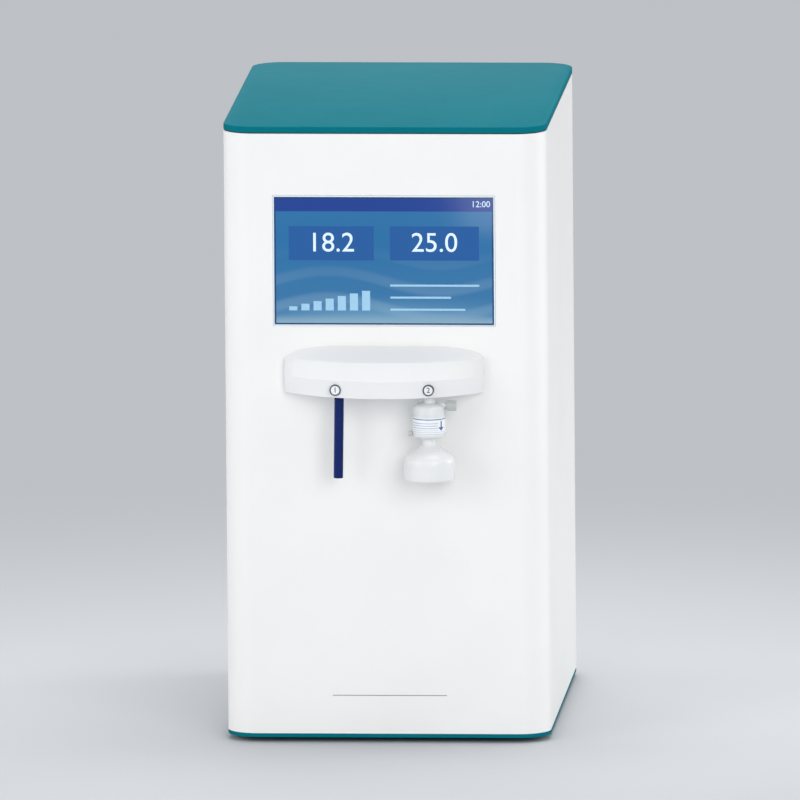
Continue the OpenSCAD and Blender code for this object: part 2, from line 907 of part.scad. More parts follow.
module button_1() {
    color("#f2f2f2")
        button(-button_x);
}

module button_2() {
    color("#f2f2f2")
        button(button_x);
}

module button_switches() {
    color("#33363a")
        for (x = [-button_x, button_x])
            block([x - switch_w / 2, switch_y, under_top], [switch_w, switch_t, switch_w]);
}

module button_springs() {
    color("#b0b3b6")
        for (x = [-button_x, button_x])
            difference() {
                rod([x, switch_y - spring_l, button_height], "y", stem_r + 1.4, spring_l);
                rod([x, switch_y - spring_l - 1, button_height], "y", stem_r + 0.6, spring_l + 2);
            }
}

// ---- Outlet hose ----

module hose_fitting() {
    color("#d7d9db")
        translate([hose_x, outlet_y, under_top])
            difference() {
                union() {
                    cylinder(r = hose_r + socket_gap + fitting_wall, h = fitting_h);
                    translate([0, 0, fitting_h])
                        cylinder(r = tube_r + 1.5, h = nozzle_h);
                }
                translate([0, 0, -1])
                    cylinder(r = hose_r + socket_gap, h = socket_h + 1);
            }
}

module outlet_hose() {
    path = [for (p = hose_route) p + [hose_x, outlet_y, hose_top]];
    color("#16295c")
        tube_along(path, hose_r, 12);
}

// ---- Capsule filter ----

// Moves its children to the capsule's axis
module at_capsule() {
    translate([capsule_x, outlet_y, 0])
        children();
}

module capsule_nut() {
    color("#cfd2d4")
        at_capsule()
            translate([0, 0, under_top])
                difference() {
                    cylinder(r = capsule_neck_r + 2.4, h = 6, $fn = 6);
                    translate([0, 0, -1])
                        cylinder(r = capsule_neck_r + neck_gap, h = 8);
                }
}

module capsule_housing() {
    shoulder_r = capsule_r - 3;
    color("#e9ecee")
        difference() {
            at_capsule()
                difference() {
                    union() {
                        translate([0, 0, body_low])
                            cylinder(r = capsule_r, h = capsule_h);
                        translate([0, 0, body_top])
                            cylinder(r1 = capsule_r, r2 = shoulder_r, h = shoulder_h * 0.55);
                        translate([0, 0, body_top + shoulder_h * 0.55])
                            cylinder(r1 = shoulder_r, r2 = capsule_neck_r, h = shoulder_h * 0.45);
                        translate([0, 0, body_top])
                            cylinder(r = capsule_neck_r, h = neck_top - body_top);
                        rod([8, 0, vent_z], "x", vent_boss_r, vent_out - 8);
                    }
                    translate([0, 0, body_low - 1])
                        cylinder(r = capsule_r - capsule_t, h = capsule_h + 1);
                    translate([0, 0, body_top - 1])
                        cylinder(r = capsule_neck_r - capsule_t, h = neck_top);
                }
            rod([capsule_x + vent_out - vent_stem_l - 0.5, outlet_y, vent_z], "x",
                vent_stem_r + vent_fit, vent_stem_l + 2);
        }
}

module capsule_base() {
    color("#e6e9eb")
        at_capsule() {
            translate([0, 0, flange_low])
                difference() {
                    union() {
                        cylinder(r = capsule_flange_r, h = body_low - flange_low);
                        translate([0, 0, -spigot_l])
                            cylinder(r = spigot_r, h = spigot_l + 1);
                        rod([-capsule_flange_r - 2.5, 0, plug_z - flange_low], "x", 1.6, 4);
                    }
                    translate([0, 0, -spigot_l - 1])
                        cylinder(r = spigot_r - 1.6, h = spigot_l + body_low);
                }
        }
}

module capsule_label() {
    color("#f7fafc")
        at_capsule()
            translate([0, 0, body_low])
                rotate([0, 0, 150])
                    rotate_extrude(angle = 230)
                        translate([capsule_r, 0])
                            square([label_t, label_h]);
}

module capsule_membrane() {
    r = capsule_r - capsule_t - 1.5;
    color("#fbfbfb")
        at_capsule()
            translate([0, 0, body_low])
                difference() {
                    cylinder(r = r, h = capsule_h - 3);
                    translate([0, 0, -1])
                        cylinder(r = 4, h = capsule_h - 6);
                }
}

module capsule_bell() {
    in = bell_neck_r - bell_t;
    edge = bell_r - 3.2;
    color("#eef1f3")
        at_capsule()
            rotate_extrude()
                polygon([
                    [in, bell_top], [bell_neck_r, bell_top],
                    [bell_neck_r, bell_top - bell_neck_h],
                    [edge, skirt_top],
                    [bell_r, skirt_top - 4.5],
                    [bell_r, skirt_low],
                    [bell_r - bell_t, skirt_low],
                    [bell_r - bell_t, skirt_top - 5],
                    [edge - bell_t / 2, skirt_top - bell_t],
                    [in, bell_top - bell_neck_h - bell_t]
                ]);
}

module vent_knob() {
    from = capsule_x + vent_out + vent_gap;
    color("#c3c7ca")
        union() {
            difference() {
                rod([from, outlet_y, vent_z], "x", vent_r, vent_l);
                for (k = [0:11])
                    translate([from + vent_l / 2 + 1, outlet_y, vent_z])
                        rotate([k * 30, 0, 0])
                            translate([0, vent_r, 0])
                                rotate([0, 90, 0])
                                    cylinder(r = 0.7, h = vent_l, center = true);
            }
            rod([from - vent_stem_l, outlet_y, vent_z], "x", vent_stem_r, vent_stem_l + 1);
        }
}

module drain_plug() {
    color("#d5d8da")
        at_capsule()
            difference() {
                rod([-capsule_flange_r - 0.2 - plug_l, 0, plug_z], "x", plug_r, plug_l);
                rod([-capsule_flange_r - 2.6, 0, plug_z], "x", 1.65, plug_l);
            }
}

// ---- Fan ----

module fan_frame() {
    hub_t = 3;
    color("#2b2d30")
        difference() {
            union() {
                difference() {
                    block([-fan_w / 2, fan_y - fan_t, fan_height - fan_w / 2], [fan_w, fan_t, fan_w]);
                    rod([0, fan_y - fan_t - 1, fan_height], "y", fan_bore_r, fan_t + 2);
                }
                rod([0, fan_y - fan_t, fan_height], "y", fan_hub_r, hub_t);
                for (a = [45, 135])
                    translate([0, fan_y - fan_t + hub_t / 2, fan_height])
                        rotate([0, a, 0])
                            cube([2 * fan_bore_r + 1, hub_t, 5], center = true);
                rod([0, fan_y - fan_t, fan_height], "y", fan_shaft_r, fan_t - 6);
            }
            for (x = [-1, 1], z = [-1, 1])
                rod([x * (fan_w / 2 - 4), fan_y - fan_t - 1, fan_height + z * (fan_w / 2 - 4)], "y",
                    1.6, fan_t + 2);
        }
}

module fan_rotor() {
    front = fan_y - fan_t + 4;
    depth = fan_t - 7;
    tip = fan_bore_r - fan_tip_gap;
    color("#35383c")
        difference() {
            union() {
                rod([0, front, fan_height], "y", fan_hub_r, depth);
                intersection() {
                    rod([0, front, fan_height], "y", tip, depth);
                    for (k = [0:fan_blades - 1])
                        translate([0, front + depth / 2, fan_height])
                            rotate([0, 360 * k / fan_blades, 0])
                                rotate([0, 0, 38])
                                    translate([0, 0, fan_hub_r - 1])
                                        translate([-depth / 2 - 2, -0.8, 0])
                                            cube([depth + 4, 1.6, tip]);
                }
            }
            rod([0, front - 1, fan_height], "y", fan_shaft_r + fan_fit, depth + 2);
        }
}

module fan_guard() {
    step = fan_bore_r / guard_rings;
    y = rear_y + guard_wire;
    color("#d9dcde")
        union() {
            translate([0, y, fan_height])
                rotate([90, 0, 0])
                    for (k = [1:guard_rings])
                        rotate_extrude()
                            translate([k * step, 0])
                                circle(r = guard_wire, $fn = 16);
            for (a = [45, 135])
                translate([0, y, fan_height])
                    rotate([0, a, 0])
                        cube([2 * fan_bore_r + 8, 2 * guard_wire, 2 * guard_wire], center = true);
        }
}

// ---- Rear fittings ----

module power_inlet() {
    flange_y = rear_y;
    color("#232528")
        difference() {
            union() {
                block([inlet_x - inlet_w / 2, flange_y, inlet_z - inlet_h / 2], [inlet_w, plate_t, inlet_h]);
                block([inlet_x - inlet_body_w / 2, flange_y + plate_t - inlet_depth, inlet_z - inlet_body_h / 2],
                      [inlet_body_w, inlet_depth, inlet_body_h]);
            }
            difference() {
                block([inlet_x - socket_w / 2, flange_y + plate_t - inlet_depth + 3, inlet_z - socket_tall / 2],
                      [socket_w, inlet_depth, socket_tall]);
                for (x = [-7, 0, 7])
                    block([inlet_x + x - 1, flange_y - inlet_depth, inlet_z - 2 + (x == 0 ? 3 : -1)],
                          [2, inlet_depth - 1, 4]);
            }
            for (x = [-20, 20])
                rod([inlet_x + x, flange_y - 1, inlet_z], "y", 1.7, plate_t + 2);
        }
}

module switch_frame() {
    rim = 1.5;
    depth = 18;
    wide = rocker_w + 2 * rim;
    tall = rocker_h + 2 * rim;
    color("#232528")
        difference() {
            union() {
                block([rocker_x - wide / 2 - 2, rear_y, rocker_z - tall / 2 - 2], [wide + 4, plate_t, tall + 4]);
                block([rocker_x - wide / 2, rear_y + plate_t - depth, rocker_z - tall / 2], [wide, depth, tall]);
            }
            block([rocker_x - rocker_w / 2 - 0.3, rear_y + plate_t - depth + 2, rocker_z - rocker_h / 2 - 0.8],
                  [rocker_w + 0.6, depth, rocker_h + 1.6]);
            rod([rocker_x - wide / 2 - 1, rear_y - 4, rocker_z], "x", rocker_pin_r + rocker_fit, wide + 2);
        }
}

module power_rocker() {
    color("#8e1f1f")
        translate([rocker_x, rear_y - 4, rocker_z])
            rotate([rocker_tilt, 0, 0])
                union() {
                    intersection() {
                        rod([-rocker_w / 2, 0, 0], "x", rocker_r, rocker_w);
                        difference() {
                            block([-rocker_w / 2, -3, -rocker_h / 2], [rocker_w, 12, rocker_h]);
                            rod([-rocker_w, 30, 0], "x", 22, 2 * rocker_w);
                        }
                    }
                    rod([-rocker_w / 2 - 1.4, 0, 0], "x", rocker_pin_r, rocker_w + 2.8);
                }
}

module water_ports() {
    nut_out = port_nut_t;
    color("#e9eaec")
        for (x = ports_x)
            difference() {
                union() {
                    rod([x, rear_y - wall_t - port_inside, port_height], "y", port_r - 2, port_inside + wall_t + 1);
                    translate([x, rear_y, port_height])
                        rotate([-90, 0, 0])
                            cylinder(r = port_r + 3, h = nut_out, $fn = 6);
                    rod([x, rear_y, port_height], "y", port_r, port_out);
                }
                rod([x, rear_y + port_out - port_bore_l, port_height], "y", tube_r + port_fit, port_bore_l + 1);
                rod([x, rear_y + port_out - 5, port_height], "y", port_r - 2.5, 6);
            }
}

module port_collets() {
    color("#2c5fa8")
        for (x = ports_x)
            difference() {
                union() {
                    rod([x, rear_y + port_out - 4.7, port_height], "y", port_r - 2.7, 5);
                    rod([x, rear_y + port_out + 0.3, port_height], "y", port_r - 1, collet_out - 0.3);
                }
                rod([x, rear_y + port_out - 6, port_height], "y", tube_r + 0.4, collet_out + 8);
            }
}

// ---- Filters, lamp and packs on the shelf ----

// Round cartridge that stands on the shelf, up to the seat of its head
module cartridge(place, r, h) {
    translate([place[0], place[1], shelf_top])
        union() {
            cylinder(r1 = r - 4, r2 = r, h = 6);
            translate([0, 0, 6])
                cylinder(r = r, h = h - head_h - 6);
        }
}

// Head of a cartridge, with its two ports
module head(place, r, h) {
    translate([place[0], place[1], shelf_top + h - head_h]) {
        cylinder(r = r + head_grow, h = head_h - 5);
        translate([0, 0, head_h - 5])
            cylinder(r1 = r + head_grow, r2 = r - 6, h = 5);
        for (side = [-1, 1])
            translate([side * port_dx, 0, head_h - 1])
                cylinder(r = stub_r, h = stub_h + 1);
    }
}

module prefilters() {
    color("#f3f3ef")
        for (p = pre_places)
            cartridge(p, prefilter_r, prefilter_h);
}

module ro_vessel() {
    color("#eceff2")
        cartridge(ro_place, ro_r, ro_h);
}

module polishing_packs() {
    color("#dfe8ee")
        for (p = pack_places)
            cartridge(p, pack_r, pack_h);
}

module filter_heads() {
    color("#2f66ad") {
        for (p = pre_places)
            head(p, prefilter_r, prefilter_h);
        head(ro_place, ro_r, ro_h);
        for (p = pack_places)
            head(p, pack_r, pack_h);
    }
}

module uv_housing() {
    color("#c3c6c9")
        difference() {
            union() {
                cartridge(uv_place, uv_r, uv_h);
                head(uv_place, uv_r, uv_h);
            }
            translate([uv_place[0], uv_place[1], shelf_top + 12])
                cylinder(r = uv_lamp_r + 0.1, h = uv_h);
        }
}

module uv_lamp() {
    color("#cfd8f5")
        translate([uv_place[0], uv_place[1], shelf_top + 12])
            cylinder(r = uv_lamp_r, h = uv_h - 4);
}

module valve_manifold() {
    color("#d9dbde")
        union() {
            block([manifold_place[0] - manifold_w / 2, manifold_place[1] - manifold_l / 2, shelf_top],
                  [manifold_w, manifold_l, manifold_h]);
            for (y = [-1, 1])
                rod([manifold_place[0] - manifold_w / 2 - stub_h, manifold_place[1] + y * valve_step,
                     shelf_top + manifold_h / 2], "x", stub_r, stub_h + 1);
        }
}

module solenoid_valves() {
    color("#3b3f44")
        for (k = [-1:1])
            translate([manifold_place[0], manifold_place[1] + k * valve_step, shelf_top + manifold_h]) {
                cylinder(r = valve_w / 2 - 1, h = 8);
                translate([0, 0, 7])
                    block([-valve_w / 2, -valve_w / 2, 0], [valve_w, valve_w, valve_h - 14]);
                translate([0, 0, valve_h - 8])
                    cylinder(r = 4, h = 6);
            }
}

module resistivity_cell() {
    color("#e3e5e7")
        translate([cell_place[0], cell_place[1], shelf_top])
            union() {
                cylinder(r = cell_r + 4, h = 4);
                cylinder(r = cell_r, h = cell_h);
                translate([0, 0, cell_h])
                    cylinder(r = 7, h = 14);
                rod([-cell_r - stub_h, 0, cell_h - 16], "x", stub_r, stub_h + cell_r);
                rod([0, 0, 20], "y", stub_r, stub_h + cell_r);
            }
}

// ---- Bottom bay ----

module booster_pump() {
    color("#3a3e43")
        union() {
            rod([pump_x, pump_y, pump_z], "y", pump_r, pump_l);
            for (y = [0.15, 0.75])
                block([pump_x - pump_r * 0.7, pump_y + y * pump_l, base_top],
                      [pump_r * 1.4, pump_l * 0.12, pump_z - base_top]);
        }
}

module booster_pump_head() {
    y0 = pump_y - pump_head_l;
    color("#e6e7e8")
        union() {
            block([pump_x - pump_head_w / 2, y0, pump_z - pump_head_w / 2],
                  [pump_head_w, pump_head_l, pump_head_w]);
            for (side = [-1, 1])
                translate([pump_x + side * pump_stub_x, y0 + pump_head_l / 2, pump_z + pump_head_w / 2 - 1])
                    cylinder(r = stub_r, h = stub_h + 1);
        }
}

module recirculation_pump() {
    color("#47505a")
        union() {
            rod([pump_x, recirc_y, recirc_z], "y", recirc_r, recirc_l);
            for (y = [0.1, 0.75])
                block([pump_x - recirc_r * 0.7, recirc_y + y * recirc_l, base_top],
                      [recirc_r * 1.4, recirc_l * 0.15, recirc_z - base_top]);
            for (side = [-1, 1])
                translate([pump_x + side * 10, recirc_y + recirc_stub_y, recirc_z + recirc_r - 3])
                    cylinder(r = stub_r, h = stub_h + 3);
        }
}

module power_supply() {
    slot_w = 3;
    color("#b4b8bb")
        difference() {
            union() {
                block([psu_x - psu_w / 2, psu_y - psu_l / 2, base_top + psu_foot], [psu_w, psu_l, psu_h]);
                for (x = [-1, 1], y = [-1, 1])
                    translate([psu_x + x * (psu_w / 2 - 8), psu_y + y * (psu_l / 2 - 8), base_top])
                        cylinder(r = 4, h = psu_foot + 1);
            }
            for (k = [-6:6])
                block([psu_x - psu_w * 0.35, psu_y + k * 10 - slot_w / 2, base_top + psu_foot + psu_h - 1.5],
                      [psu_w * 0.7, slot_w, 3]);
        }
}

// ---- Control board ----

// Places of the board's standoffs, from its middle
standoff_places = [for (x = [-1, 1], z = [-1, 1]) [x * (board_w / 2 - 6), z * (board_h / 2 - 6)]];

module control_board() {
    chips = [[-50, 20, 24, 24, 3], [10, 25, 16, 16, 2], [-10, -25, 30, 14, 10], [50, -20, 18, 26, 14],
             [60, 30, 22, 12, 9], [-60, -30, 20, 12, 9]];
    color("#2c6b46")
        union() {
            block([-board_w / 2, board_y, screen_z - board_h / 2], [board_w, board_t, board_h]);
            for (c = chips)
                block([c[0] - c[2] / 2, board_y + board_t - eps, screen_z + c[1] - c[3] / 2], [c[2], c[4], c[3]]);
        }
}

module board_standoffs() {
    color("#c9a24b")
        for (p = standoff_places)
            translate([p[0], bracket_y + bracket_t, screen_z + p[1]])
                rotate([-90, 0, 0])
                    cylinder(r = 3.5, h = standoff_l, $fn = 6);
}

// ---- Tubes and wires ----

module internal_tubes() {
    up = [0, 0, 12];
    feed = [ports_x[0], port_end_y, port_height];
    behind = [ports_x[0] - 17, rear_y - wall_t - 15];
    pre_a = port_top(pre_places[0], prefilter_h, -1);
    pre_b = port_top(pre_places[1], prefilter_h, 1);
    pump_a = [pump_x - pump_stub_x, pump_y - pump_head_l / 2, pump_z + pump_head_w / 2 + stub_h];
    pump_b = pump_a + [2 * pump_stub_x, 0, 0];
    ro_a = port_top(ro_place, ro_h, -1);
    hole_a = [shelf_holes[0][0], shelf_holes[0][1], shelf_top];
    hole_b = [shelf_holes[1][0], shelf_holes[1][1], shelf_top];
    cell_in = [cell_place[0] - cell_r - stub_h, cell_place[1], shelf_top + cell_h - 16];
    neck_in = [capsule_x, outlet_y, neck_top];
    hose_in = [hose_x, outlet_y, nozzle_top];
    manifold_in = [manifold_place[0] - manifold_w / 2 - stub_h, manifold_place[1] + valve_step,
                   shelf_top + manifold_h / 2];
    beside_pack = pack_r + 12;
    color("#f2f5f8") {
        // From the feed port, up behind the shelf, to the first prefilter
        water_tube([feed, feed - [0, 12, 0], feed + [-10, -14, 34], [behind[0], behind[1], port_height + 70],
                    [behind[0], behind[1], shelf_top + 120], [behind[0], behind[1], pre_a[2] - 40],
                    pre_a + [-8, 30, 30], pre_a + [0, 6, 30], pre_a + up, pre_a]);
        // Between the prefilters
        water_tube(arch(port_top(pre_places[0], prefilter_h, 1), port_top(pre_places[1], prefilter_h, -1), 34));
        // From the second prefilter, down through the shelf, to the booster pump
        water_tube([pre_b, pre_b + up, pre_b + [18, -4, 26], [hole_a[0], mid_y + 10, pre_b[2] - 30],
                    [hole_a[0] - 3, mid_y - 40, shelf_top + 160], [hole_a[0], hole_a[1], shelf_top + 60],
                    hole_a + up, hole_a - [0, 0, 24], pump_b + [0, 0, 18], pump_b]);
        // From the booster pump, up through the shelf, to the reverse osmosis vessel
        water_tube([pump_a, pump_a + up, hole_b - [34, 20, 26], hole_b - [0, 0, 14], hole_b + up,
                    [hole_b[0] - 4, hole_b[1] - 8, ro_a[2] - 60], ro_a + [26, -24, 26],
                    ro_a + [2, -4, 26], ro_a + up, ro_a]);
        // Through the polishing packs to the lamp housing
        water_tube(arch(port_top(ro_place, ro_h, 1), port_top(pack_places[1], pack_h, -1), 30));
        water_tube(arch(port_top(pack_places[1], pack_h, 1), port_top(pack_places[0], pack_h, 1), 34));
        water_tube(arch(port_top(pack_places[0], pack_h, -1), port_top(uv_place, uv_h, -1), 40));
        // From the resistivity cell to the capsule
        water_tube([cell_in, cell_in - [12, 0, 0], cell_in + [-26, -18, 40], [34, front_y + 46, duct_z - 10],
                    [36, front_y + 22, duct_z + 8], [40, front_y - 8, duct_z + 13],
                    neck_in + [-1, 6, 12], neck_in + [0, 0, 6], neck_in]);
        // From the valves to the hose
        water_tube([manifold_in, manifold_in - [10, 0, 0], [beside_pack, pack_places[1][1], shelf_top + 24],
                    [beside_pack - 8, pack_places[1][1] - 60, shelf_top + 50],
                    [0, front_y + 80, shelf_top + 130], [-36, front_y + 46, duct_z - 14],
                    [-38, front_y + 22, duct_z + 8], [-41, front_y - 8, duct_z + 13],
                    hose_in + [1, 6, 11], hose_in + [0, 0, 6], hose_in]);
    }
}

module wiring_loom() {
    back = board_y + board_t;
    plug = [60, back + 9, screen_z + 30];
    hole = [shelf_holes[2][0], shelf_holes[2][1], shelf_top];
    psu_in = [psu_x - 10, psu_y - psu_l * 0.35, base_top + psu_foot + psu_h];
    inlet_in = [inlet_x - 6, rear_y + plate_t - inlet_depth, inlet_z];
    psu_end = [psu_x + 12, psu_y + psu_l / 2, base_top + psu_h * 0.6];
    color("#30343a") {
        // From the control board, down through the shelf, to the power supply
        wire([plug, plug + [0, 8, 0], plug + [2, 16, -20], [64, back + 28, shelf_top + 150],
              [hole[0] + 10, hole[1] - 14, shelf_top + 50], hole + [0, 0, 12], hole - [0, 0, 16],
              psu_in + [0, -4, 30], psu_in + [0, 0, 10], psu_in]);
        // From the power inlet to the power supply
        wire([inlet_in, inlet_in - [0, 10, 0], [inlet_in[0] - 6, rear_y - 50, inlet_in[2] - 4],
              psu_end + [4, 24, 6], psu_end + [0, 8, 0], psu_end]);
    }
}

// ---- The whole object ----

base_plate();
rubber_feet();
chassis_frame();
cartridge_shelf();
front_fascia();
left_side_panel();
right_side_panel();
rear_panel();
lid();
lid_gasket();
hinge_rear_leaves();
hinge_lid_leaves();
hinge_pins();
display_bezel();
display_glass();
lcd_module();
display_bracket();
dispenser_hood();
hood_underplate();
button_rings();
button_1();
button_2();
button_switches();
button_springs();
hose_fitting();
outlet_hose();
capsule_nut();
capsule_housing();
capsule_base();
capsule_label();
capsule_membrane();
capsule_bell();
vent_knob();
drain_plug();
fan_frame();
fan_rotor();
fan_guard();
power_inlet();
switch_frame();
power_rocker();
water_ports();
port_collets();
booster_pump();
booster_pump_head();
recirculation_pump();
power_supply();
control_board();
board_standoffs();
prefilters();
ro_vessel();
polishing_packs();
filter_heads();
uv_housing();
uv_lamp();
valve_manifold();
solenoid_valves();
resistivity_cell();
internal_tubes();
wiring_loom();
case_screws();
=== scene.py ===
"""Looks of a bench-top ultrapure water system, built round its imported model.

Every sub-assembly is a class that models its pieces in bmesh, dresses them in
procedural finishes and hangs them on the moving bodies of the frame. Lengths
are written in millimetres and turned into metres where meshes are made.
"""

import logging
import math
from dataclasses import dataclass
from enum import Enum
from typing import Iterable, Sequence

import bmesh
import bpy
from mathutils import Matrix, Vector


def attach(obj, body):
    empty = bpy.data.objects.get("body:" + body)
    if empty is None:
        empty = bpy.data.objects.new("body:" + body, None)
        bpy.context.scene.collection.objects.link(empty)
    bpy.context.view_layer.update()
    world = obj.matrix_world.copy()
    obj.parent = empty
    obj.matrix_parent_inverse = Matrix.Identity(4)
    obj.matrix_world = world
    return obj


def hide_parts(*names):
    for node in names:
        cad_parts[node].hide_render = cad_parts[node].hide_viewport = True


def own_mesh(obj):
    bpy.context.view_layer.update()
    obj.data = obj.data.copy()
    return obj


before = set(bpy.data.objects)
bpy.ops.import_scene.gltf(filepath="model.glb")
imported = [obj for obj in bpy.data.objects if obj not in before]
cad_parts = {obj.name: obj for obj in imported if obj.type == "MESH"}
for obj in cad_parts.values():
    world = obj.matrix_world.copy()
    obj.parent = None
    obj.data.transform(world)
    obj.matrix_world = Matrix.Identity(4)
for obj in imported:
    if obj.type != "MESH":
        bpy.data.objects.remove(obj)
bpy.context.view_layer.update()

LOG = logging.getLogger("water_system")
MM = 0.001
MERGE_DISTANCE = 0.0005
NODE_MERGE_DISTANCE = 1e-6
FLAT_ANGLE = math.radians(0.4)
NORMAL_WEIGHT = 60
BUMP_STRENGTH = 0.6
COAT_ROUGHNESS = 0.08
Colour = tuple[float, float, float]
Point = tuple[float, float, float]
Socket = bpy.types.NodeSocket
FLOAT, COLOUR, VECTOR = "NodeSocketFloat", "NodeSocketColor", "NodeSocketVector"
SURFACE_OUTPUTS = {"Colour": COLOUR, "Roughness": FLOAT, "Height": FLOAT}


class Body(str, Enum):
    """The rigid bodies that pieces ride on."""

    CABINET = "cabinet"
    LID = "lid_assembly"
    BUTTON_LEFT = "button_one"
    BUTTON_RIGHT = "button_two"
    VENT = "vent_valve"
    ROTOR = "rotor"
    ROCKER = "rocker"


class Axis(Enum):
    """The axis that a turned piece is spun round."""

    X = (1.0, 0.0, 0.0)
    Y = (0.0, 1.0, 0.0)
    Z = (0.0, 0.0, 1.0)


def rgb(red: int, green: int, blue: int) -> Colour:
    """Turns a colour as seen on a screen into the linear values of a shader.

    Args:
        red: Red from 0 to 255.
        green: Green from 0 to 255.
        blue: Blue from 0 to 255.

    Returns:
        The linear colour.
    """
    def linear(value: int) -> float:
        """One channel, by the sRGB curve."""
        part = value / 255
        return part / 12.92 if part <= 0.04045 else ((part + 0.055) / 1.055) ** 2.4

    return linear(red), linear(green), linear(blue)


# ---- Shader node groups ----


class Graph:
    """A small helper that adds and links shader nodes."""

    def __init__(self, tree: bpy.types.NodeTree) -> None:
        """Starts on a node tree.

        Args:
            tree: The tree that gets the nodes.
        """
        self.tree = tree

    def node(self, kind: str, inputs: dict | None = None, **settings) -> bpy.types.Node:
        """Adds a node.

        Args:
            kind: The node's type name, without its ShaderNode prefix.
            inputs: Socket names or numbers, with a value or a socket to link.
            **settings: Properties of the node.

        Returns:
            The node.
        """
        prefix = "" if kind.startswith("Node") else "ShaderNode"
        made = self.tree.nodes.new(prefix + kind)
        for key, value in settings.items():
            setattr(made, key, value)
        for key, value in (inputs or {}).items():
            if isinstance(value, Socket):
                self.tree.links.new(value, made.inputs[key])
            else:
                made.inputs[key].default_value = value
        return made

    def maths(self, operation: str, *values) -> Socket:
        """Adds a Math node, or a chain of them where there are more than two values.

        Args:
            operation: The operation, such as MULTIPLY.
            *values: Numbers or sockets.

        Returns:
            The result's socket.
        """
        made = self.node("Math", dict(enumerate(values[:2])), operation=operation).outputs[0]
        return self.maths(operation, made, *values[2:]) if values[2:] else made

    def link(self, sockets, sources: dict[str, Socket]) -> None:
        """Links sources to named sockets.

        Args:
            sockets: The sockets of a node.
            sources: Names of sockets, with the source of each one.
        """
        for label, source in sources.items():
            self.tree.links.new(source, sockets[label])

    def mix(self, amount, low, high) -> Socket:
        """Mixes two colours.

        Args:
            amount: Share of the second colour, a number or a socket.
            low: First colour, a linear triple or a socket.
            high: Second colour, a linear triple or a socket.

        Returns:
            The mixed colour's socket.
        """
        made = self.node("Mix", data_type="RGBA")
        for number, value in ((0, amount), (6, low), (7, high)):
            if isinstance(value, Socket):
                self.tree.links.new(value, made.inputs[number])
            elif isinstance(value, tuple):
                made.inputs[number].default_value = (*value, 1.0)
            else:
                made.inputs[number].default_value = value
        return made.outputs[2]

    def ramp(self, value: Socket, low: float, high: float) -> Socket:
        """Maps the range low to high onto 0 to 1 with soft ends.

        Args:
            value: The socket to map.
            low: Value that gives 0.
            high: Value that gives 1.

        Returns:
            The mapped socket.
        """
        inputs = {"Value": value, "From Min": low, "From Max": high}
        return self.node("MapRange", inputs, interpolation_type="SMOOTHSTEP").outputs[0]


def new_group(name: str, inputs: dict[str, tuple], outputs: dict[str, str]) -> tuple:
    """Starts a shader node group.

    Args:
        name: The group's name.
        inputs: Input names, with each one's socket type and first value.
        outputs: Output names, with each one's socket type.

    Returns:
        Its graph, the sockets that it is given and the sockets that it puts out.
    """
    group = bpy.data.node_groups.new(name, "ShaderNodeTree")
    for label, (kind, value) in inputs.items():
        socket = group.interface.new_socket(name=label, in_out="INPUT", socket_type=kind)
        socket.default_value = value
    for label, kind in outputs.items():
        group.interface.new_socket(name=label, in_out="OUTPUT", socket_type=kind)
    graph = Graph(group)
    return graph, graph.node("NodeGroupInput").outputs, graph.node("NodeGroupOutput").inputs


def moulded_surface_group() -> bpy.types.NodeTree:
    """Makes the fine texture, sheen drift and handling marks of moulded or painted parts.

    Returns:
        The group, which puts out a colour, a roughness and a height.
    """
    name = "moulded_surface"
    if name in bpy.data.node_groups:
        return bpy.data.node_groups[name]
    graph, given, result = new_group(name, {
        "Colour": (COLOUR, (0.8, 0.8, 0.8, 1.0)), "Shade": (COLOUR, (0.7, 0.7, 0.7, 1.0)),
        "Drift": (FLOAT, 0.2), "Grain Scale": (FLOAT, 1500.0),
        "Roughness": (FLOAT, 0.4), "Marks": (FLOAT, 0.1),
    }, SURFACE_OUTPUTS)
    place = graph.node("TexCoord").outputs["Object"]

    def noise(scale, detail: float, **more) -> Socket:
        """A noise over the object."""
        inputs = {"Vector": place, "Scale": scale, "Detail": detail, **more}
        return graph.node("TexNoise", inputs).outputs[0]

    cloud = noise(9.0, 3.0)
    fine = noise(given["Grain Scale"], 2.0)
    marks = noise(60.0, 6.0, Roughness=0.7)
    amount = graph.maths("MULTIPLY", graph.ramp(cloud, 0.3, 0.7), given["Drift"])
    rub = graph.maths("MULTIPLY", graph.ramp(marks, 0.5, 0.8), given["Marks"])
    swing = graph.maths("MULTIPLY", graph.maths("SUBTRACT", fine, 0.5), 0.06)
    graph.link(result, {
        "Colour": graph.mix(amount, given["Colour"], given["Shade"]),
        "Roughness": graph.maths("ADD", given["Roughness"], rub, swing), "Height": fine,
    })
    return graph.tree


def brushed_surface_group() -> bpy.types.NodeTree:
    """Makes the fine lines of brushed or drawn metal.

    Returns:
        The group, which puts out a colour, a roughness and a height.
    """
    name = "brushed_surface"
    if name in bpy.data.node_groups:
        return bpy.data.node_groups[name]
    graph, given, result = new_group(name, {
        "Colour": (COLOUR, (0.8, 0.8, 0.8, 1.0)), "Shade": (COLOUR, (0.6, 0.6, 0.6, 1.0)),
        "Stretch": (VECTOR, (40.0, 1500.0, 1500.0)), "Roughness": (FLOAT, 0.3),
    }, SURFACE_OUTPUTS)
    place = graph.node("TexCoord").outputs["Object"]
    spread = graph.node("VectorMath", {0: place, 1: given["Stretch"]}, operation="MULTIPLY")
    inputs = {"Vector": spread.outputs[0], "Scale": 1.0, "Detail": 4.0}
    lines = graph.node("TexNoise", inputs).outputs[0]
    swing = graph.maths("MULTIPLY", graph.maths("SUBTRACT", lines, 0.5), 0.25)
    graph.link(result, {
        "Colour": graph.mix(lines, given["Shade"], given["Colour"]),
        "Roughness": graph.maths("ADD", given["Roughness"], swing), "Height": lines,
    })
    return graph.tree


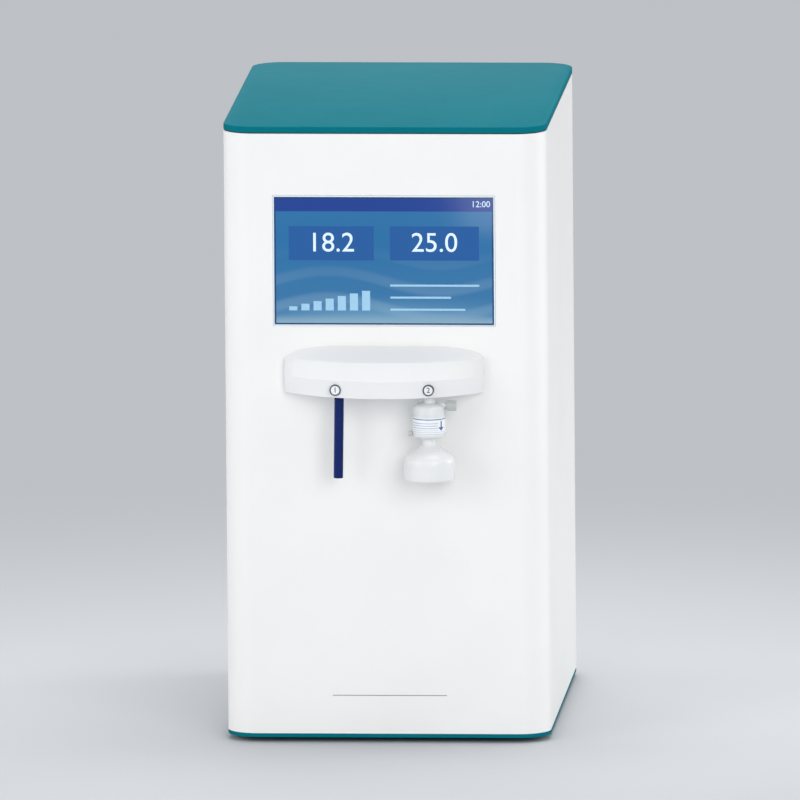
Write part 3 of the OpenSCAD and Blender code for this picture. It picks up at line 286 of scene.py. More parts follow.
# ---- Finishes ----


@dataclass(frozen=True)
class Finish:
    """A finish that every material of the object is made from.

    Attributes:
        name: The material's name.
        colour: Its main colour, linear.
        shade: The colour that it drifts towards.
        roughness: Its mean roughness.
        drift: How far the colour drifts.
        marks: How much rougher handling marks are.
        grain: Height of the fine grain, in millimetres.
        grain_scale: Grains a metre.
        coat: Weight of the clear coat.
        specular: The shader's specular level.
    """

    name: str
    colour: Colour
    shade: Colour
    roughness: float = 0.35
    drift: float = 0.25
    marks: float = 0.06
    grain: float = 0.004
    grain_scale: float = 1500.0
    coat: float = 0.0
    specular: float = 0.5

    def shader(self, tree: Graph) -> bpy.types.Node:
        """Adds the shader with the values that don't change over the surface.

        Args:
            tree: The material's graph.

        Returns:
            The Principled BSDF.
        """
        return tree.node("BsdfPrincipled", {
            "Coat Weight": self.coat, "Coat Roughness": COAT_ROUGHNESS,
            "Specular IOR Level": self.specular,
        })

    def surface(self, tree: Graph) -> bpy.types.Node:
        """Adds the group that varies the surface.

        Args:
            tree: The material's graph.

        Returns:
            The group's node.
        """
        return tree.node("Group", {
            "Colour": (*self.colour, 1.0), "Shade": (*self.shade, 1.0), "Drift": self.drift,
            "Grain Scale": self.grain_scale, "Roughness": self.roughness, "Marks": self.marks,
        }, node_tree=moulded_surface_group())

    def colour_socket(self, tree: Graph, group: bpy.types.Node) -> Socket:
        """Gives the colour that reaches the shader; some finishes draw on it."""
        return group.outputs["Colour"]

    def material(self) -> bpy.types.Material:
        """Makes the material, or finds it if it was made before.

        Returns:
            The material.
        """
        name = self.name + "_finish"
        if name in bpy.data.materials:
            return bpy.data.materials[name]
        made = bpy.data.materials.new(name)
        made.use_nodes = True
        made.node_tree.nodes.clear()
        tree = Graph(made.node_tree)
        shader, group = self.shader(tree), self.surface(tree)
        heights = {
            "Height": group.outputs["Height"], "Distance": self.grain * MM,
            "Strength": BUMP_STRENGTH,
        }
        tree.link(shader.inputs, {
            "Base Color": self.colour_socket(tree, group),
            "Roughness": group.outputs["Roughness"],
            "Normal": tree.node("Bump", heights).outputs[0],
        })
        tree.node("OutputMaterial", {0: shader.outputs[0]})
        self.finish_nodes(tree, shader)
        return made

    def finish_nodes(self, tree: Graph, shader: bpy.types.Node) -> None:
        """Lets a finish set more of the shader; the plain one sets nothing."""


@dataclass(frozen=True)
class Metal(Finish):
    """Brushed, drawn or plated metal.

    Attributes:
        stretch: How the brushing lines run: lines a metre along X, Y and Z.
    """

    stretch: Point = (40.0, 1500.0, 1500.0)

    def surface(self, tree: Graph) -> bpy.types.Node:
        """Adds the brushed group."""
        return tree.node("Group", {
            "Colour": (*self.colour, 1.0), "Shade": (*self.shade, 1.0), "Stretch": self.stretch,
            "Roughness": self.roughness,
        }, node_tree=brushed_surface_group())

    def finish_nodes(self, tree: Graph, shader: bpy.types.Node) -> None:
        """Makes the shader a metal."""
        shader.inputs["Metallic"].default_value = 1.0


@dataclass(frozen=True)
class Clear(Finish):
    """Translucent moulding, tube or glass that lets light through.

    Attributes:
        see_through: Share of the light that passes.
        refraction: Index of refraction.
    """

    see_through: float = 0.5
    refraction: float = 1.45

    def finish_nodes(self, tree: Graph, shader: bpy.types.Node) -> None:
        """Lets light pass through."""
        shader.inputs["Transmission Weight"].default_value = self.see_through
        shader.inputs["IOR"].default_value = self.refraction


@dataclass(frozen=True)
class Lit(Finish):
    """A part that shines by itself, such as the figures on the display.

    Attributes:
        strength: Strength of its light.
    """

    strength: float = 0.8

    def finish_nodes(self, tree: Graph, shader: bpy.types.Node) -> None:
        """Sets the glow."""
        shader.inputs["Emission Color"].default_value = (*self.colour, 1.0)
        shader.inputs["Emission Strength"].default_value = self.strength


# ---- Meshes ----


class Form:
    """A mesh while it is shaped, in millimetres, in the object's own frame."""

    def __init__(self) -> None:
        """Starts with an empty mesh."""
        self.bm = bmesh.new()

    def block(self, low: Point, high: Point, edge: float = 0.0) -> list:
        """Adds a box with rounded edges.

        Args:
            low: Its lowest corner.
            high: Its highest corner.
            edge: Radius of its edges.

        Returns:
            The box's vertices before its edges were rounded.
        """
        verts = bmesh.ops.create_cube(self.bm, size=1.0)["verts"]
        bmesh.ops.scale(self.bm, vec=Vector(high) - Vector(low), verts=verts)
        bmesh.ops.translate(self.bm, vec=(Vector(high) + Vector(low)) / 2, verts=verts)
        if edge > 0:
            self.round_edges({e for v in verts for e in v.link_edges}, edge)
        return verts

    def round_edges(self, edges: Iterable, size: float, steps: int = 3) -> None:
        """Rounds edges.

        Args:
            edges: The edges.
            size: The radius.
            steps: Facets round each edge.
        """
        bmesh.ops.bevel(
            self.bm, geom=list(edges), offset=size, offset_type="OFFSET", affect="EDGES",
            segments=steps, profile=0.5, material=-1, clamp_overlap=True,
        )

    def line(self, points: Sequence[Point], closed: bool = True) -> tuple[list, list]:
        """Adds a line of edges.

        Args:
            points: Its corners in order.
            closed: Whether the last one joins the first one.

        Returns:
            Its vertices and its edges.
        """
        verts = [self.bm.verts.new(p) for p in points]
        pairs = zip(verts, verts[1:] + verts[:1] if closed else verts[1:])
        return verts, [self.bm.edges.new(pair) for pair in pairs]

    def lathe(self, profile: Sequence[tuple[float, float]], centre: Point, axis: Axis = Axis.Z,
              steps: int = 64, closed: bool = False) -> None:
        """Turns a profile round an axis.

        Args:
            profile: Pairs of a radius and a distance along the axis.
            centre: A point on the axis, where the distance is 0.
            axis: Direction of the axis.
            steps: Facets round the axis.
            closed: Whether the last point joins the first one.
        """
        along = Vector(axis.value)
        side = Vector((0.0, 1.0, 0.0)) if axis is Axis.X else Vector((1.0, 0.0, 0.0))
        points = [Vector(centre) + side * r + along * h for r, h in profile]
        verts, edges = self.line(points, closed)
        bmesh.ops.spin(
            self.bm, geom=verts + edges, cent=centre, axis=along, dvec=(0.0, 0.0, 0.0),
            angle=math.tau, steps=steps, use_merge=True, use_duplicate=False,
        )

    def loft(self, loops: Sequence[Sequence[Point]]) -> None:
        """Skins closed outlines one after the other and closes both ends.

        Args:
            loops: The outlines, each with the same number of points.
        """
        rings = [self.line(points)[1] for points in loops]
        for low, high in zip(rings, rings[1:]):
            bmesh.ops.bridge_loops(self.bm, edges=low + high)
        for ring in (rings[0], rings[-1]):
            bmesh.ops.contextual_create(self.bm, geom=ring)

    def grips(self, centre: Point, radius: float, size: Point, count: int) -> None:
        """Sets small blocks in a ring round an upright axis.

        Args:
            centre: Middle of the ring, at the foot of the blocks.
            radius: Distance of their middles from the axis.
            size: Their size away from the axis, along the ring and upwards.
            count: How many there are.
        """
        for number in range(count):
            low = Vector(centre) + Vector((radius - size[0] / 2, -size[1] / 2, 0.0))
            verts = self.block(low, low + Vector(size))
            turn = Matrix.Rotation(math.tau * number / count, 3, "Z")
            bmesh.ops.rotate(self.bm, cent=centre, matrix=turn, verts=verts)

    def sleeve(self, centre: Point, radius: float, length: float, grow: float,
               axis: Axis = Axis.Z) -> None:
        """Adds a thin ring that lies round a cylinder.

        Args:
            centre: Its first end, on the axis.
            radius: Radius of the cylinder.
            length: Its length.
            grow: Its thickness.
            axis: Direction of the axis.
        """
        inner, outer = radius - 0.1, radius + grow
        profile = [(inner, 0.0), (outer, 0.0), (outer, length), (inner, length)]
        self.lathe(profile, centre, axis, closed=True)

    def plate(self, outline: Sequence[Point], push: Point) -> None:
        """Extrudes a flat outline into a solid.

        Args:
            outline: Its corners in order.
            push: The way and the distance that it is pushed.
        """
        face = self.bm.faces.new([self.bm.verts.new(p) for p in outline])
        grown = bmesh.ops.extrude_face_region(self.bm, geom=[face], use_keep_orig=True)["geom"]
        verts = [g for g in grown if isinstance(g, bmesh.types.BMVert)]
        bmesh.ops.translate(self.bm, vec=push, verts=verts)

    def ring_tube(self, path: Sequence[Vector], radii: Sequence[float], sides: int) -> None:
        """Skins circles set square to a path.

        Args:
            path: The centres of the circles.
            radii: The radius of each one.
            sides: Facets round the tube.
        """
        loops = []
        side = Vector((1.0, 0.0, 0.0))
        for number, (place, radius) in enumerate(zip(path, radii)):
            ahead = path[min(number + 1, len(path) - 1)] - path[max(number - 1, 0)]
            if ahead.length > 1e-6:
                way = ahead.normalized()
            side = (side - way * side.dot(way)).normalized()
            across = way.cross(side)
            turns = [math.tau * k / sides for k in range(sides)]
            loops.append([
                place + radius * (math.cos(t) * side + math.sin(t) * across) for t in turns
            ])
        self.loft(loops)

    def object(self, name: str) -> bpy.types.Object:
        """Turns the mesh into an object at the origin, in metres.

        Args:
            name: The piece's name.

        Returns:
            The object.
        """
        bmesh.ops.remove_doubles(self.bm, verts=self.bm.verts, dist=MERGE_DISTANCE)
        bmesh.ops.recalc_face_normals(self.bm, faces=self.bm.faces)
        bmesh.ops.scale(self.bm, vec=(MM, MM, MM), verts=self.bm.verts)
        mesh = bpy.data.meshes.new(name)
        self.bm.to_mesh(mesh)
        self.bm.free()
        return linked(name, mesh)

    def piece(self, name: str, finish: Finish, slot: str, *nodes: str,
              body: Body = Body.CABINET, edge: float = 0.0, angle: float = 35.0) -> None:
        """Turns the mesh into a dressed piece with soft edges.

        Args:
            name: The piece's name.
            finish: Its finish.
            slot: The record's material slot.
            *nodes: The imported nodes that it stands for.
            body: The body that it moves with.
            edge: Radius of its edges, in millimetres.
            angle: Angle, in degrees, from which an edge counts as sharp.
        """
        made = self.object(name)
        ease(made, edge, angle)
        dress(made, finish, body, slot, *nodes)

    def flat_piece(self, name: str, finish: Finish, slot: str, body: Body = Body.CABINET) -> None:
        """Turns the mesh into a dressed piece with flat faces.

        Args:
            name: The piece's name.
            finish: Its finish.
            slot: The record's material slot.
            body: The body that it moves with.
        """
        made = self.object(name)
        made.data.shade_flat()
        dress(made, finish, body, slot)


def linked(name: str, data: bpy.types.ID) -> bpy.types.Object:
    """Makes an object and links it to the scene.

    Args:
        name: Its name.
        data: Its mesh, lamp, camera or curve.

    Returns:
        The object.
    """
    made = bpy.data.objects.new(name, data)
    bpy.context.scene.collection.objects.link(made)
    return made


def evaluated_mesh(made: bpy.types.Object) -> bpy.types.Mesh:
    """Makes a mesh of an object as its modifiers or its curve leave it.

    Args:
        made: The object.

    Returns:
        The new mesh.
    """
    bpy.context.view_layer.update()
    graph = bpy.context.evaluated_depsgraph_get()
    return bpy.data.meshes.new_from_object(made.evaluated_get(graph))


def ease(made: bpy.types.Object, size: float, angle: float = 35.0, steps: int = 2) -> None:
    """Rounds an object's sharp edges with a modifier and shades it smooth.

    Args:
        made: The object.
        size: Radius of the edges, in millimetres.
        angle: Angle, in degrees, from which an edge counts as sharp.
        steps: Facets round each edge.
    """
    made.data.shade_smooth()
    if size <= 0:
        made.data.set_sharp_from_angle(angle=math.radians(angle))
        return
    bevel = made.modifiers.new("eased_edges", "BEVEL")
    bevel.width = size * MM
    bevel.segments = steps
    bevel.limit_method = "ANGLE"
    bevel.angle_limit = math.radians(angle)
    bevel.use_clamp_overlap = True
    bevel.miter_outer = "MITER_ARC"
    normals = made.modifiers.new("even_shading", "WEIGHTED_NORMAL")
    normals.mode = "FACE_AREA"
    normals.weight = NORMAL_WEIGHT


def dress(made: bpy.types.Object, finish: Finish, body: Body, slot: str,
          *nodes: str) -> bpy.types.Object:
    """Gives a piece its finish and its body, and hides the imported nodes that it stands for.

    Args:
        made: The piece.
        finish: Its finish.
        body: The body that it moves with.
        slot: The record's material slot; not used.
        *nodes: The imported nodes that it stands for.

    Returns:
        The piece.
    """
    made.data.materials.clear()
    made.data.materials.append(finish.material())
    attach(made, body.value)
    if nodes:
        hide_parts(*nodes)
    LOG.info("%s on %s, %d faces", made.name, body.value, len(made.data.polygons))
    return made


@dataclass
class Eased:
    """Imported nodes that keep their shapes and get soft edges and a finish.

    Attributes:
        nodes: The nodes' names, with spaces between them.
        finish: Their finish.
        slot: The record's material slot.
        edge: Radius of their edges, in millimetres.
        body: The body that they move with.
        angle: Angle from which an edge counts as sharp.
    """

    nodes: str
    finish: Finish
    slot: str
    edge: float
    body: Body = Body.CABINET
    angle: float = 35.0

    def build(self) -> None:
        """Copies each node's mesh, merges it and dresses it."""
        for node in self.nodes.split():
            name = node + "_piece"
            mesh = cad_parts[node].data.copy()
            mesh.name = name
            work = bmesh.new()
            work.from_mesh(mesh)
            bmesh.ops.remove_doubles(work, verts=work.verts, dist=NODE_MERGE_DISTANCE)
            bmesh.ops.dissolve_limit(
                work, angle_limit=FLAT_ANGLE, use_dissolve_boundaries=False,
                verts=work.verts, edges=work.edges, delimit=set(),
            )
            work.to_mesh(mesh)
            work.free()
            made = linked(name, mesh)
            ease(made, self.edge, self.angle)
            dress(made, self.finish, self.body, self.slot, node)


def build_all(*parts) -> None:
    """Builds parts one after the other."""
    for part in parts:
        part.build()


# ---- Studio ----


@dataclass
class Studio:
    """The camera at the photograph's angle, the floor, the lamps and the world.

    Attributes:
        look_at: Point that the camera's line is measured from, in millimetres.
        distance: Distance of the camera, in millimetres.
        azimuth: Its turn round the object, in degrees.
        elevation: Its height over the horizon, in degrees.
        roll: Its roll, in degrees.
        scale: Pixels to a millimetre in the picture.
        shift: Where look_at lies from the picture's centre, in pixels, right and down.
        frame_w: Width of the picture, in pixels.
        sensor: Width of the sensor, in millimetres.
        clip: The nearest and the farthest distance that the camera sees, in metres.
        floor_colour: Colour of the floor.
        backdrop_colour: Colour that it fades into.
        floor_half: Half the floor's width, in metres.
        near: Distances over which the floor fades into the backdrop, in metres.
        even_light: Strength of the light from all sides.
    """

    look_at: Point = (0.0, 16.4, 305.0)
    distance: float = 34965.0
    azimuth: float = 4.091
    elevation: float = 8.897
    roll: float = -0.450
    scale: float = 1.00712
    shift: tuple[float, float] = (1.01, 3.24)
    frame_w: int = 800
    sensor: float = 36.0
    floor_colour: Colour = rgb(196, 199, 203)
    backdrop_colour: Colour = rgb(190, 193, 197)
    floor_half: float = 60.0
    clip: tuple[float, float] = (1.0, 120.0)
    near: tuple[float, float] = (0.35, 1.5)
    even_light: float = 0.5

    def build(self) -> None:
        """Makes the camera, the floor, the lamps and the world."""
        self.camera()
        self.floor()
        self.lamps()
        self.world()

    def camera(self) -> None:
        """Places the camera."""
        turn, rise, roll = (math.radians(v) for v in (self.azimuth, self.elevation, self.roll))
        right = Vector((math.cos(turn), math.sin(turn), 0.0))
        flat_x, flat_y = math.cos(turn), math.sin(turn)
        up = Vector((-flat_y * math.sin(rise), flat_x * math.sin(rise), math.cos(rise)))
        back = Vector((flat_y * math.cos(rise), -flat_x * math.cos(rise), math.sin(rise)))
        across = math.cos(roll) * right + math.sin(roll) * up
        above = -math.sin(roll) * right + math.cos(roll) * up
        place = Vector(self.look_at) + self.distance * back
        place += (-self.shift[0] * across + self.shift[1] * above) / self.scale
        data = bpy.data.cameras.new("camera")
        data.sensor_width = self.sensor
        data.lens = self.sensor * self.scale * self.distance / self.frame_w
        data.clip_start, data.clip_end = self.clip
        made = linked("camera", data)
        turned = Matrix((across, above, back)).transposed().to_4x4()
        made.matrix_world = Matrix.Translation(place * MM) @ turned
        bpy.context.scene.camera = made

    def floor(self) -> None:
        """Makes the large plain floor."""
        form = Form()
        half = self.floor_half / MM
        corners = ((-1, -1), (1, -1), (1, 1), (-1, 1))
        form.bm.faces.new([form.bm.verts.new((x * half, y * half, 0.0)) for x, y in corners])
        made = form.object("floor")
        surface = bpy.data.materials.new("floor_surface")
        surface.use_nodes = True
        surface.node_tree.nodes.clear()
        graph = Graph(surface.node_tree)
        shader = graph.node("BsdfPrincipled", {
            "Base Color": (*self.floor_colour, 1.0), "Roughness": 0.9, "Specular IOR Level": 0.1,
        })
        plain = graph.node("Emission", {"Color": (*self.backdrop_colour, 1.0), "Strength": 1.0})
        place = graph.node("TexCoord").outputs["Object"]
        reach = graph.node("VectorMath", {0: place}, operation="LENGTH").outputs["Value"]
        rays = graph.node("LightPath").outputs["Is Camera Ray"]
        far = graph.maths("MULTIPLY", graph.ramp(reach, *self.near), rays)
        both = graph.node("MixShader", {0: far, 1: shader.outputs[0], 2: plain.outputs[0]})
        graph.node("OutputMaterial", {0: both.outputs[0]})
        made.data.materials.append(surface)

    def lamp(self, name: str, place: Point, aim: float, size: float, power: float) -> None:
        """Makes a soft square lamp that faces the object.

        Args:
            name: Its name.
            place: Where it stands, in metres.
            aim: Height that it faces, on the upright axis, in metres.
            size: Its width and height, in metres.
            power: Its power, in watts.
        """
        data = bpy.data.lights.new(name, "AREA")
        data.shape = "RECTANGLE"
        data.size = data.size_y = size
        data.energy = power
        way = Vector((0.0, 0.0, aim)) - Vector(place)
        turned = way.to_track_quat("-Z", "Y").to_matrix().to_4x4()
        linked(name, data).matrix_world = Matrix.Translation(Vector(place)) @ turned

    def lamps(self) -> None:
        """Sets the key, the fill, the two side lamps, the top and the rear lamp."""
        self.lamp("key_lamp", (1.1, -2.7, 1.2), 0.32, 1.6, 31.0)
        self.lamp("fill_lamp", (-2.1, -2.1, 1.1), 0.30, 1.8, 24.0)
        self.lamp("side_lamp", (2.7, 0.7, 0.9), 0.30, 1.4, 23.0)
        self.lamp("left_lamp", (-2.8, 0.5, 0.9), 0.30, 1.4, 15.0)
        self.lamp("top_lamp", (0.2, 0.4, 2.7), 0.50, 1.6, 38.0)
        self.lamp("rear_lamp", (-0.6, 2.6, 1.2), 0.30, 1.6, 9.0)

    def world(self) -> None:
        """Lights the scene evenly and shows the floor's colour behind it."""
        world = bpy.data.worlds.new("studio_world")
        world.use_nodes = True
        world.node_tree.nodes.clear()
        graph = Graph(world.node_tree)
        white = (1.0, 1.0, 1.0, 1.0)
        even = graph.node("Background", {"Color": white, "Strength": self.even_light})
        seen = graph.node("Background", {"Color": (*self.backdrop_colour, 1.0), "Strength": 1.0})
        rays = graph.node("LightPath").outputs
        kinds = ("Is Camera Ray", "Is Transmission Ray", "Is Glossy Ray")
        any_ray = graph.maths("MAXIMUM", *(rays[kind] for kind in kinds))
        both = graph.node("MixShader", {0: any_ray, 1: even.outputs[0], 2: seen.outputs[0]})
        graph.node("OutputWorld", {0: both.outputs[0]})
        bpy.context.scene.world = world
        bpy.context.scene.view_settings.view_transform = "Standard"


# ---- Finishes of this object ----

WHITE_PANEL = Finish(
    "white_panel", rgb(241, 241, 240), rgb(230, 231, 231), roughness=0.42, drift=0.3, grain=0.012,
    grain_scale=1400.0,
)
WHITE_HOOD = Finish(
    "white_hood", rgb(232, 233, 234), rgb(224, 226, 228), roughness=0.46, drift=0.25, grain=0.006,
    specular=0.35,
)
TEAL_LID = Finish(
    "teal_lid", rgb(6, 108, 122), rgb(16, 120, 132), roughness=0.5, drift=0.35, grain=0.006,
    specular=0.008,
)
BLUE_HOSE = Finish(
    "blue_hose", rgb(3, 31, 96), rgb(3, 20, 64), roughness=0.24, drift=0.35, specular=0.2,
)
BLACK_RUBBER = Finish(
    "black_rubber", rgb(38, 40, 43), rgb(28, 29, 32), roughness=0.75, drift=0.5, marks=0.15,
    grain=0.03, grain_scale=900.0,
)
# The bezel's near-white colour is partly the rim's own pale colour and partly a painted highlight:
# it is lifted to stand in for the light that the rim's edge catches.
BEZEL_RIM = Finish("bezel_rim", rgb(226, 236, 244), rgb(212, 224, 234), roughness=0.4)
RING_GREY = Finish("ring_grey", rgb(78, 84, 92), rgb(62, 68, 76), roughness=0.38)
CAP_WHITE = Finish("cap_white", rgb(238, 240, 242), rgb(224, 227, 230), roughness=0.35)
FIGURE_GREY = Finish("figure_grey", rgb(46, 50, 57), rgb(38, 42, 48), roughness=0.5, grain=0.0)
LINE_GREY = Finish("line_grey", rgb(118, 122, 128), rgb(104, 108, 114), roughness=0.5, grain=0.0)
BLACK_PLASTIC = Finish(
    "black_plastic", rgb(36, 38, 41), rgb(28, 30, 33), roughness=0.45, drift=0.4, grain=0.02,
    grain_scale=1200.0,
)
FITTING_WHITE = Finish(
    "fitting_white", rgb(226, 229, 231), rgb(212, 216, 219), roughness=0.4, grain=0.006,
)
KNOB_GREY = Finish("knob_grey", rgb(186, 190, 192), rgb(172, 176, 179), roughness=0.42, grain=0.006)
ROCKER_RED = Finish("rocker_red", rgb(156, 34, 32), rgb(132, 26, 26), roughness=0.32, coat=0.2)
COLLET_BLUE = Finish("collet_blue", rgb(40, 92, 168), rgb(32, 78, 148), roughness=0.36, grain=0.006)
MOTOR_DARK = Finish(
    "motor_dark", rgb(46, 49, 54), rgb(34, 37, 41), roughness=0.5, drift=0.5, grain=0.02,
)
BOARD_GREEN = Finish(
    "board_green", rgb(30, 96, 62), rgb(22, 80, 50), roughness=0.35, drift=0.6, coat=0.3,
    grain=0.01,
)
CARTRIDGE_WHITE = Finish(
    "cartridge_white", rgb(232, 234, 236), rgb(216, 220, 224), roughness=0.36, grain=0.01,
)
VALVE_DARK = Finish("valve_dark", rgb(52, 56, 62), rgb(40, 43, 48), roughness=0.42, grain=0.012)
WIRE_DARK = Finish("wire_dark", rgb(44, 47, 52), rgb(34, 36, 40), roughness=0.4)
MEMBRANE_WHITE = Finish(
    "membrane_white", rgb(244, 244, 242), rgb(232, 232, 230), roughness=0.8, grain=0.05,
    grain_scale=2600.0,
)
FRAME_STEEL = Metal(
    "frame_steel", rgb(204, 207, 211), rgb(176, 180, 186), roughness=0.42, grain=0.006,
    stretch=(400.0, 400.0, 30.0),
)
HINGE_STEEL = Metal("hinge_steel", rgb(196, 199, 203), rgb(168, 172, 178), roughness=0.3)
SCREW_STEEL = Metal("screw_steel", rgb(176, 179, 184), rgb(150, 154, 160), roughness=0.28)
SPRING_STEEL = Metal(
    "spring_steel", rgb(186, 189, 194), rgb(160, 164, 170), roughness=0.25, grain=0.002,
)
MOTOR_METAL = Metal(
    "motor_metal", rgb(190, 194, 199), rgb(160, 165, 171), roughness=0.34, grain=0.006,
)
UV_STEEL = Metal(
    "uv_steel", rgb(210, 213, 217), rgb(186, 190, 196), roughness=0.2,
    stretch=(1500.0, 1500.0, 25.0),
)
BRASS = Metal("brass", rgb(206, 168, 96), rgb(176, 138, 70), roughness=0.3)
LCD_METAL = Metal("lcd_metal", rgb(178, 182, 187), rgb(154, 158, 164), roughness=0.45)
CAPSULE_CLEAR = Clear(
    "capsule_clear", rgb(238, 241, 242), rgb(228, 232, 234), roughness=0.25, see_through=0.16,
)
BELL_CLEAR = Clear(
    "bell_clear", rgb(236, 237, 239), rgb(229, 231, 233), roughness=0.24, see_through=0.06,
)
TUBE_CLEAR = Clear(
    "tube_clear", rgb(232, 238, 243), rgb(220, 228, 235), roughness=0.2, grain=0.002,
    see_through=0.45,
)
LAMP_GLASS = Clear(
    "lamp_glass", rgb(214, 226, 244), rgb(196, 212, 236), roughness=0.08, grain=0.0,
    see_through=0.7,
)
PALE_FIGURE = Lit(
    "pale_figure", rgb(206, 224, 238), rgb(206, 224, 238), roughness=0.4, grain=0.0,
    strength=0.25, specular=0.2,
)
TILE_BLUE = Lit(
    "tile_blue", rgb(30, 80, 138), rgb(28, 76, 132), roughness=0.4, grain=0.0, strength=0.35,
    specular=0.2,
)
BAR_PALE = Lit(
    "bar_pale", rgb(146, 186, 212), rgb(140, 180, 208), roughness=0.4, grain=0.0, strength=0.25,
    specular=0.2,
)


# ---- Outlet hose ----


@dataclass
class OutletHose:
    """The stiff blue hose that hangs out of the hood, with its hollow end.

    Attributes:
        top: Where it leaves its socket.
        route: Its points, from the top down, as steps from the top.
        radius: Outer radius.
        bore: Radius of its bore.
        bore_depth: Depth of the bore that shows at its end.
        steps: Points between two points of the route.
    """

    top: Point = (-43.5, -231.1, 361.7)
    route: tuple[Point, ...] = (
        (0.0, 0.0, 0.0), (0.0, 0.0, -14.0), (-0.2, 0.0, -30.0), (-0.5, 0.0, -46.0),
        (-0.8, 0.0, -62.0), (-1.1, 0.2, -77.0), (-1.4, 0.5, -92.5),
    )
    radius: float = 4.75
    bore: float = 3.2
    bore_depth: float = 6.0
    steps: int = 4

    def line(self) -> list[Vector]:
        """Gives the smooth line that the hose follows.

        Returns:
            Its points, in millimetres.
        """
        knots = [Vector(self.top) + Vector(step) for step in self.route]
        ends = [knots[0] * 2 - knots[1], *knots, knots[-1] * 2 - knots[-2]]
        line = []
        for before, here, after, last in zip(ends, ends[1:], ends[2:], ends[3:]):
            for part in range(self.steps):
                t = part / self.steps
                slope = (after - before) * t
                bend = (2 * before - 5 * here + 4 * after - last) * t * t
                twist = (3 * here - before - 3 * after + last) * t ** 3
                line.append(0.5 * (2 * here + slope + bend + twist))
        return line + [knots[-1]]

    def build(self) -> bpy.types.Object:
        """Returns:
            The hose.
        """
        line = self.line()
        way = (line[-1] - line[-2]).normalized()
        end = line[-1]
        soft = 0.5
        backs = (soft, soft * 0.3, 0.0, 0.0, 0.4, self.bore_depth)
        rim = (self.radius - 0.15, self.radius - soft, self.bore + 0.3, self.bore, self.bore)
        form = Form()
        places = line[:-1] + [end - way * back for back in backs]
        form.ring_tube(places, [self.radius] * len(line) + list(rim), 40)
        made = form.object("blue_outlet_hose")
        ease(made, 0.0, 50.0)
        dress(made, BLUE_HOSE, Body.CABINET, "hose_blue", "outlet_hose")
        length = sum((b - a).length for a, b in zip(line, line[1:])) * MM
        Vector(self.top) * MM
        return made


# ---- Flat figures ----


def figure(text: str, height: float, centre: Point, depth: float) -> Form:
    """Makes plain figures that face the front.

    Args:
        text: The figures, such as 18.2.
        height: Height of a figure, in millimetres.
        centre: Middle of the figures.
        depth: Thickness of the figures.

    Returns:
        The figures as a form.
    """
    curve = bpy.data.curves.new("figures", "FONT")
    curve.body = text
    curve.align_x = curve.align_y = "CENTER"
    curve.size = height / 0.7
    curve.extrude = depth / 2
    curve.resolution_u = 6
    holder = linked("figures", curve)
    mesh = evaluated_mesh(holder)
    bpy.data.objects.remove(holder)
    bpy.data.curves.remove(curve)
    form = Form()
    form.bm.from_mesh(mesh)
    bpy.data.meshes.remove(mesh)
    upright = Matrix.Rotation(math.pi / 2, 3, "X")
    bmesh.ops.rotate(form.bm, cent=(0, 0, 0), matrix=upright, verts=form.bm.verts)
    bmesh.ops.translate(form.bm, vec=centre, verts=form.bm.verts)
    return form


def corner_outline(half_w: float, y_low: float, y_high: float, radius: float,
                   steps: int = 14) -> list[tuple[float, float]]:
    """Gives a rectangle with round corners, seen from above.

    Args:
        half_w: Half its width.
        y_low: Its front.
        y_high: Its rear.
        radius: Radius of its corners.
        steps: Facets round a corner.

    Returns:
        Its corners, anticlockwise.
    """
    middles = (
        (half_w - radius, y_low + radius, -90.0), (half_w - radius, y_high - radius, 0.0),
        (radius - half_w, y_high - radius, 90.0), (radius - half_w, y_low + radius, 180.0),
    )
    points = []
    for x, y, start in middles:
        for step in range(steps + 1):
            turn = math.radians(start + 90.0 * step / steps)
            points.append((x + radius * math.cos(turn), y + radius * math.sin(turn)))
    return points


# ---- Cabinet ----


